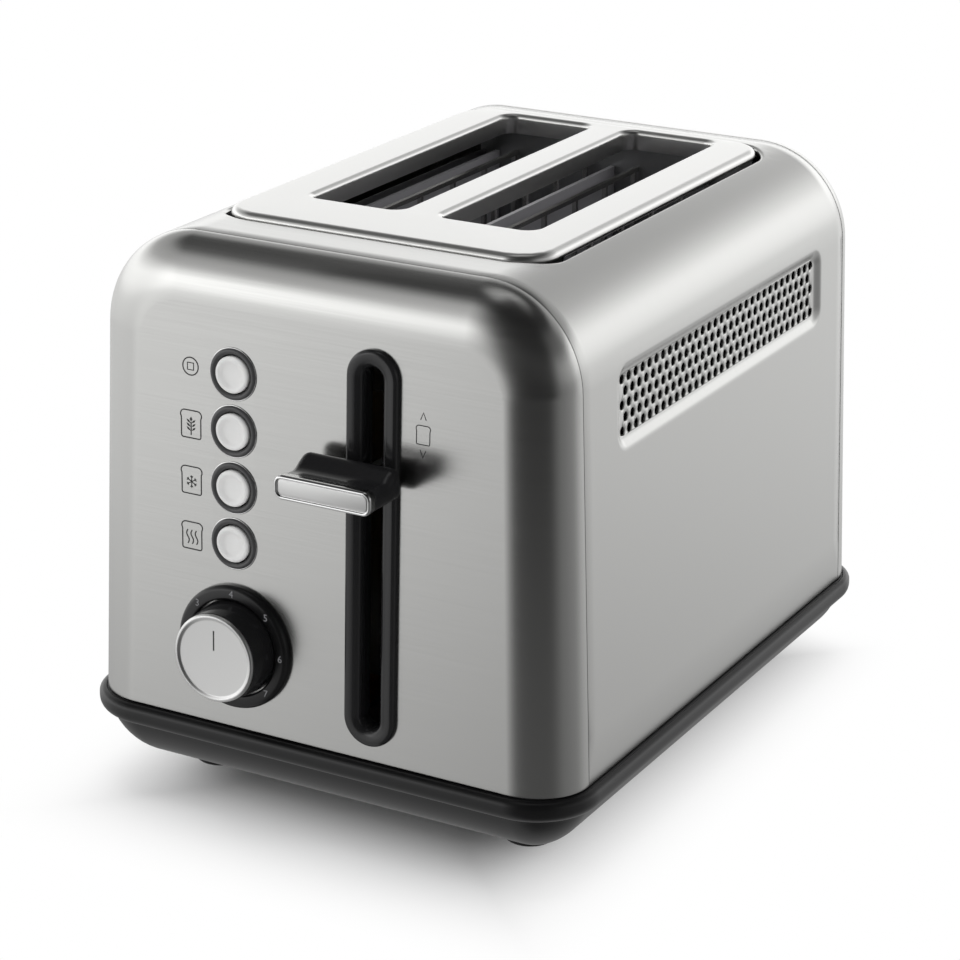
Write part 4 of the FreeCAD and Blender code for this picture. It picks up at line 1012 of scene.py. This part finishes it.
symbols = {
    "x": -47.6,
    "line": 0.42,
    "thinLine": 0.32,
    "hairLine": 0.26,
    "inkBelow": 0.03,
    "inkAbove": -0.06,
    "stopRadius": 3.0,
    "stopSquare": 1.2,
    "bread": (7.6, 9.4),
    "breadDrop": 0.4,
    "insideDrop": 0.9,
    "grainDrop": 1.2,
    "stalk": (-2.9, 1.6),
    "leafRows": (-1.5, -0.2, 1.1),
    "leaf": ((0.25, 0.0), (1.3, 0.45), (1.75, 1.35), (0.75, 0.95)),
    "ear": ((0.0, 1.7), (0.55, 2.5), (0.0, 3.4), (-0.55, 2.5)),
    "snowArm": 2.1,
    "snowFork": 1.3,
    "snowBarb": (0.6, 0.55),
    "waveShifts": (-1.7, 0.0, 1.7),
    "waveHalf": 2.4,
    "waveSwing": 0.5,
    "sliceX": 39.7,
    "sliceZ": 148.1,
    "slice": (4.8, 6.2),
    "sliceLine": 0.3,
    "arrowTip": 7.4,
    "arrow": (1.0, 2.4),
}


# A flat line of even width through points on the panel
def ribbon(points, width, closed=False):
    count = len(points)
    rings = []
    for i, (x, z) in enumerate(points):
        before = points[i - 1] if i or closed else points[i]
        after = points[(i + 1) % count] if i < count - 1 or closed else points[i]
        along = Vector((after[0] - before[0], after[1] - before[1])).normalized()
        side = Vector((-along.y, along.x)) * width / 2
        rings.append([(x + side.x, z + side.y), (x - side.x, z - side.y)])
    if closed:
        rings.append(rings[0])
    vertices, faces = [], []
    for height in (symbols["inkAbove"], symbols["inkBelow"]):
        vertices += [onPanel((x, height, z)) for ring in rings for x, z in ring]
    half = 2 * len(rings)
    for i in range(len(rings) - 1):
        a, b, c, d = 2 * i, 2 * i + 1, 2 * i + 3, 2 * i + 2
        faces += [(a, b, c, d), (half + d, half + c, half + b, half + a),
                  (a, d, half + d, half + a), (b, half + b, half + c, c)]
    if not closed:
        end = half - 2
        faces += [(0, half, half + 1, 1), (end, end + 1, half + end + 1, half + end)]
    return vertices, faces


# A small filled shape on the panel
def blot(points):
    rings = [[(x, y, z) for x, z in points] for y in (symbols["inkBelow"], symbols["inkAbove"])]
    return panelSweep(rings, capped=True)


# A slice of bread: a body with round lower corners under two lobes
def breadOutline(x, z, wide, tall):
    half, low, high = wide / 2, z - tall / 2, z + tall / 2
    lobe, corner = tall * 0.17, wide * 0.09
    right = arcPoints(x + half - corner, low + corner, corner, -90, 90, 3)
    right.append((x + half, high - 2.0 * lobe))
    right += arcPoints(x + half - lobe * 0.8, high - lobe, lobe, -35, 125, 5)
    return right + [(2 * x - px, pz) for px, pz in reversed(right)]


def grainSymbol(x, z):
    low, high = symbols["stalk"]
    parts = [ribbon([(x, z + low), (x, z + high)], symbols["line"])]
    for height in symbols["leafRows"]:
        for side in (-1, 1):
            parts.append(blot([(x + side * out, z + height + up) for out, up in symbols["leaf"]]))
    return parts + [blot([(x + out, z + up) for out, up in symbols["ear"]])]


def snowSymbol(x, z):
    parts = []
    middle, (along, aside) = Vector((x, z)), symbols["snowBarb"]
    turns = [2 * math.pi * i / 6 for i in range(6)]
    tips = [Vector((math.sin(turn), math.cos(turn))) for turn in turns]
    for tip in tips[:3]:
        arm = symbols["snowArm"] * tip
        parts.append(ribbon([tuple(middle - arm), tuple(middle + arm)], symbols["thinLine"]))
    for tip in tips:
        fork, cross = middle + symbols["snowFork"] * tip, Vector((-tip.y, tip.x))
        for side in (-1, 1):
            end = fork + along * tip + side * aside * cross
            parts.append(ribbon([tuple(fork), tuple(end)], symbols["hairLine"]))
    return parts


def warmSymbol(x, z, steps=12):
    parts = []
    for shift in symbols["waveShifts"]:
        wave = [(x + shift + symbols["waveSwing"] * math.sin(2 * math.pi * i / steps),
                 z + symbols["waveHalf"] * (2 * i / steps - 1)) for i in range(steps + 1)]
        parts.append(ribbon(wave, symbols["line"]))
    return parts


# A slice between two arrowheads: the lever's way up and down
def leverSymbol(x, z):
    parts = [ribbon(breadOutline(x, z, *symbols["slice"]), symbols["sliceLine"], True)]
    half, rise = symbols["arrow"]
    for side in (-1, 1):
        tip = z + side * symbols["arrowTip"]
        foot = tip - side * rise
        parts.append(ribbon([(x - half, foot), (x, tip), (x + half, foot)], symbols["thinLine"]))
    return parts


def makeSymbols():
    x, line = symbols["x"], symbols["line"]
    stop, reach = buttonHeight(0), symbols["stopSquare"]
    corners = ((-1, -1), (1, -1), (1, 1), (-1, 1))
    parts = [ribbon(circleLoop(x, stop, symbols["stopRadius"], 32), line, True),
             ribbon([(x + reach * across, stop + reach * up) for across, up in corners], line, True)]
    for row in (1, 2, 3):
        middle = buttonHeight(row) - symbols["breadDrop"]
        parts.append(ribbon(breadOutline(x, middle, *symbols["bread"]), line, True))
    parts += grainSymbol(x, buttonHeight(1) - symbols["grainDrop"])
    parts += snowSymbol(x, buttonHeight(2) - symbols["insideDrop"])
    parts += warmSymbol(x, buttonHeight(3) - symbols["insideDrop"])
    parts += leverSymbol(symbols["sliceX"], symbols["sliceZ"] - body["bottom"])
    obj = showPiece("printed_symbols", *joinMeshes(parts), printInk, smooth=False)


# Browning numbers 1 to 7 round the dial, 4 at the top
def makeNumbers():
    radius = dial["numberRadius"]
    for number in range(1, 8):
        turn = math.radians((number - 4) * dial["numberStep"])
        curve = bpy.data.curves.new(f"number_{number}", "FONT")
        curve.body = str(number)
        curve.size = dial["numberSize"] * mm
        curve.extrude = dial["numberDepth"] * mm
        curve.align_x = "CENTER"
        curve.align_y = "CENTER"
        curve.resolution_u = 4
        curve.materials.append(dialInk)
        label = bpy.data.objects.new(f"dial_number_{number}", curve)
        bpy.context.scene.collection.objects.link(label)
        x, z = dialX + radius * math.sin(turn), dialZ + radius * math.cos(turn)
        place = Vector(onPanel((x, dial["numberFace"], z))) * mm
        stand = Matrix.Rotation(math.pi / 2 - body["endLean"], 4, "X")
        label.matrix_world = Matrix.Translation(place) @ stand
        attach(label, "housing")


makeSymbols()
makeNumbers()
print("print made")


# Inner pieces keep their solids, and some that can be seen get softer edges

# (width, angle above which an edge is softened, segments)
guardEdge, blockEdge = (0.7, 60, 2), (0.4, 50, 3)
softer = {
    "bread_guard_left_a": guardEdge, "bread_guard_left_b": guardEdge, "bread_guard_right_a": guardEdge,
    "bread_guard_right_b": guardEdge, "terminal_block": blockEdge, "lever_stem": blockEdge,
}
for name, edge in softer.items():
    softenEdges(nodes[name], *edge)


# Floor, light and camera

stage = {
    "floorSize": 6.0,
    "paper": "#F6F6F6",
    "nearFade": -0.045,   # metres out from the base where the paper starts to fade into the background
    "farFade": 0.03,      # and where it has faded
    "shadowShift": 18.0,  # the part of the paper that stays reaches this much further toward the front
    "shadowTrim": 9.0,    # and this much less to either side
    "roomLight": 0.70,    # even light from all round
    "lamps": {
        "top": {"place": (-0.25, 0.35, 1.3), "size": 1.1, "power": 10.0},
        "left": {"place": (-1.3, -0.9, 0.9), "size": 0.9, "power": 5.0},
        "right": {"place": (1.3, 0.4, 0.9), "size": 0.9, "power": 4.0},
    },
    # what polished surfaces mirror, by height in degrees: pale floor, bright walls, dark ceiling
    "mirrorHeights": ((-90, 0.42), (-24, 0.46), (-20.5, 0.64), (-17, 0.94), (-12, 1.10), (-4, 1.16),
                      (4, 1.66), (14, 1.84), (21, 1.2), (28, 0.60), (40, 0.52), (52, 0.05), (64, 0.05),
                      (76, 0.5), (90, 0.75)),
    # and by bearing, 0 at the front and 90 on the right: a dark screen stands at the front right
    "mirrorBearings": ((-180, 0.9), (-147, 0.8), (-75, 0.88), (-48, 0.84), (-36, 1.22), (-27, 0.88),
                       (-18, 0.26), (-11, 0.02), (50, 0.02), (78, 0.20), (104, 0.28), (140, 0.72),
                       (156, 0.84), (168, 0.94), (180, 0.9)),
    "mirrorScale": 2.0,   # brightness at which a ramp is full
    "floorGlow": 0.10,    # light that the pale floor adds to low reflections on every side
    "glowHeights": (-15.0, -20.0),
}


# Matt white paper: it takes the soft shadow, and fades to plain white away from the toaster
def makeFloor():
    material, tree, shader = newMaterial("white_paper", stage["paper"], Roughness=0.9)
    place = addNode(tree, "ShaderNodeTexCoord")
    axes = addNode(tree, "ShaderNodeSeparateXYZ", {}, {"Vector": place.outputs["Object"]})
    reach = []
    for axis, middle, half in (("X", 0.0, baseHigh.x - stage["shadowTrim"]),
                               ("Y", midY - stage["shadowShift"], (baseHigh.y - baseLow.y) / 2)):
        away = addMath(tree, "ABSOLUTE", addMath(tree, "SUBTRACT", axes.outputs[axis], middle * mm))
        reach.append(addMath(tree, "SUBTRACT", away, half * mm))
    smooth = {"interpolation_type": "SMOOTHSTEP", "From Min": stage["nearFade"], "From Max": stage["farFade"]}
    fade = addNode(tree, "ShaderNodeMapRange", smooth, {"Value": addMath(tree, "MAXIMUM", *reach)})
    rays = addNode(tree, "ShaderNodeLightPath")
    seen = addMath(tree, "MAXIMUM", rays.outputs["Is Camera Ray"], rays.outputs["Is Transmission Ray"])
    share = addMath(tree, "MULTIPLY", fade.outputs["Result"], seen)
    white = addNode(tree, "ShaderNodeEmission", {"Color": (1, 1, 1, 1), "Strength": 1.0})
    mix = addNode(tree, "ShaderNodeMixShader", {}, {0: share, 1: shader.outputs[0], 2: white.outputs[0]})
    tree.links.new(mix.outputs[0], tree.nodes["Material Output"].inputs["Surface"])
    half = stage["floorSize"] / 2
    mesh = bpy.data.meshes.new("floor")
    corners = [(-half, -half, 0), (half, -half, 0), (half, half, 0), (-half, half, 0)]
    mesh.from_pydata(corners, [], [(0, 1, 2, 3)])
    mesh.materials.append(material)
    floor = bpy.data.objects.new("floor", mesh)
    floor.visible_glossy = False  # polished surfaces mirror the studio of makeWorld instead
    bpy.context.scene.collection.objects.link(floor)


def makeLamps():
    for name, facts in stage["lamps"].items():
        lamp = bpy.data.lights.new(name + "_softbox", "AREA")
        lamp.shape = "SQUARE"
        lamp.size = facts["size"]
        lamp.energy = facts["power"]
        holder = bpy.data.objects.new(name + "_softbox", lamp)
        holder.location = facts["place"]
        aim = Vector((0.0, 0.0, 0.1)) - holder.location
        holder.rotation_mode = "QUATERNION"
        holder.rotation_quaternion = aim.to_track_quat("-Z", "Y")
        holder.visible_glossy = False
        bpy.context.scene.collection.objects.link(holder)


# A smooth curve through (angle, brightness) pairs
def levels(tree, angles, pairs, low, high):
    place = addNode(tree, "ShaderNodeMapRange", {"From Min": low, "From Max": high}, {"Value": angles})
    ramp = addNode(tree, "ShaderNodeValToRGB", {}, {"Fac": place.outputs["Result"]})
    stops = ramp.color_ramp.elements
    while len(stops) > 1:
        stops.remove(stops[-1])
    for count, (angle, brightness) in enumerate(pairs):
        spot = (angle - low) / (high - low)
        stop = stops[0] if count == 0 else stops.new(spot)
        stop.position = spot
        stop.color = (brightness / stage["mirrorScale"],) * 3 + (1,)
    ramp.color_ramp.interpolation = "EASE"
    return addMath(tree, "MULTIPLY", ramp.outputs["Color"], stage["mirrorScale"])


# White to the eye, even light for matt surfaces, and for polished ones the white room broken by dark screens
def makeWorld():
    world = bpy.data.worlds.new("studio")
    bpy.context.scene.world = world
    world.use_nodes = True
    tree = world.node_tree
    tree.nodes.clear()
    rays = addNode(tree, "ShaderNodeLightPath")
    place = addNode(tree, "ShaderNodeTexCoord")
    axes = addNode(tree, "ShaderNodeSeparateXYZ", {}, {"Vector": place.outputs["Generated"]})
    height = addMath(tree, "DEGREES", addMath(tree, "ARCSINE", axes.outputs["Z"]))
    front = addMath(tree, "MULTIPLY", axes.outputs["Y"], -1.0)
    bearing = addMath(tree, "DEGREES", addMath(tree, "ARCTAN2", axes.outputs["X"], front))
    byHeight = levels(tree, height, stage["mirrorHeights"], -90, 90)
    byBearing = levels(tree, bearing, stage["mirrorBearings"], -180, 180)
    glowFrom, glowTo = stage["glowHeights"]
    glow = addNode(tree, "ShaderNodeMapRange",
                   {"From Min": glowFrom, "From Max": glowTo, "To Min": 0.0, "To Max": stage["floorGlow"]},
                   {"Value": height})
    mirrored = addMath(tree, "ADD", addMath(tree, "MULTIPLY", byHeight, byBearing), glow.outputs["Result"])
    plainWhite = (1, 1, 1, 1)
    room = addNode(tree, "ShaderNodeBackground", {"Color": plainWhite, "Strength": stage["roomLight"]})
    studio = addNode(tree, "ShaderNodeBackground", {"Color": plainWhite}, {"Strength": mirrored})
    white = addNode(tree, "ShaderNodeBackground", {"Color": plainWhite, "Strength": 1.0})
    polished = addNode(tree, "ShaderNodeMixShader", {},
                       {0: rays.outputs["Is Glossy Ray"], 1: room.outputs[0], 2: studio.outputs[0]})
    straight = addMath(tree, "MAXIMUM", rays.outputs["Is Camera Ray"], rays.outputs["Is Transmission Ray"])
    seen = addNode(tree, "ShaderNodeMixShader", {},
                   {0: straight, 1: polished.outputs[0], 2: white.outputs[0]})
    addNode(tree, "ShaderNodeOutputWorld", {}, {"Surface": seen.outputs[0]})


camera = {
    "place": (0.4803, -0.8676, 0.4566),
    "azimuth": 28.995,
    "elevation": 20.232,
    "roll": 0.450,
    "lens": 111.93,
    "sensor": 36.0,
    "clip": (0.05, 20.0),
}


def makeCamera():
    azimuth, elevation, roll = (math.radians(camera[key]) for key in ("azimuth", "elevation", "roll"))
    across = Vector((math.cos(azimuth), math.sin(azimuth), 0))
    level = Vector((math.sin(azimuth), -math.cos(azimuth), 0))
    back = math.cos(elevation) * level + math.sin(elevation) * Vector((0, 0, 1))
    upward = back.cross(across)
    turned = math.cos(roll) * across + math.sin(roll) * upward
    raised = math.cos(roll) * upward - math.sin(roll) * across
    data = bpy.data.cameras.new("camera")
    data.lens = camera["lens"]
    data.sensor_width = camera["sensor"]
    data.clip_start, data.clip_end = camera["clip"]
    holder = bpy.data.objects.new("camera", data)
    bpy.context.scene.collection.objects.link(holder)
    turn = Matrix((turned, raised, back)).transposed().to_4x4()
    holder.matrix_world = Matrix.Translation(Vector(camera["place"])) @ turn
    bpy.context.scene.camera = holder


makeFloor()
makeLamps()
makeWorld()
makeCamera()
bpy.context.scene.view_settings.view_transform = "Standard"
print("stage set")
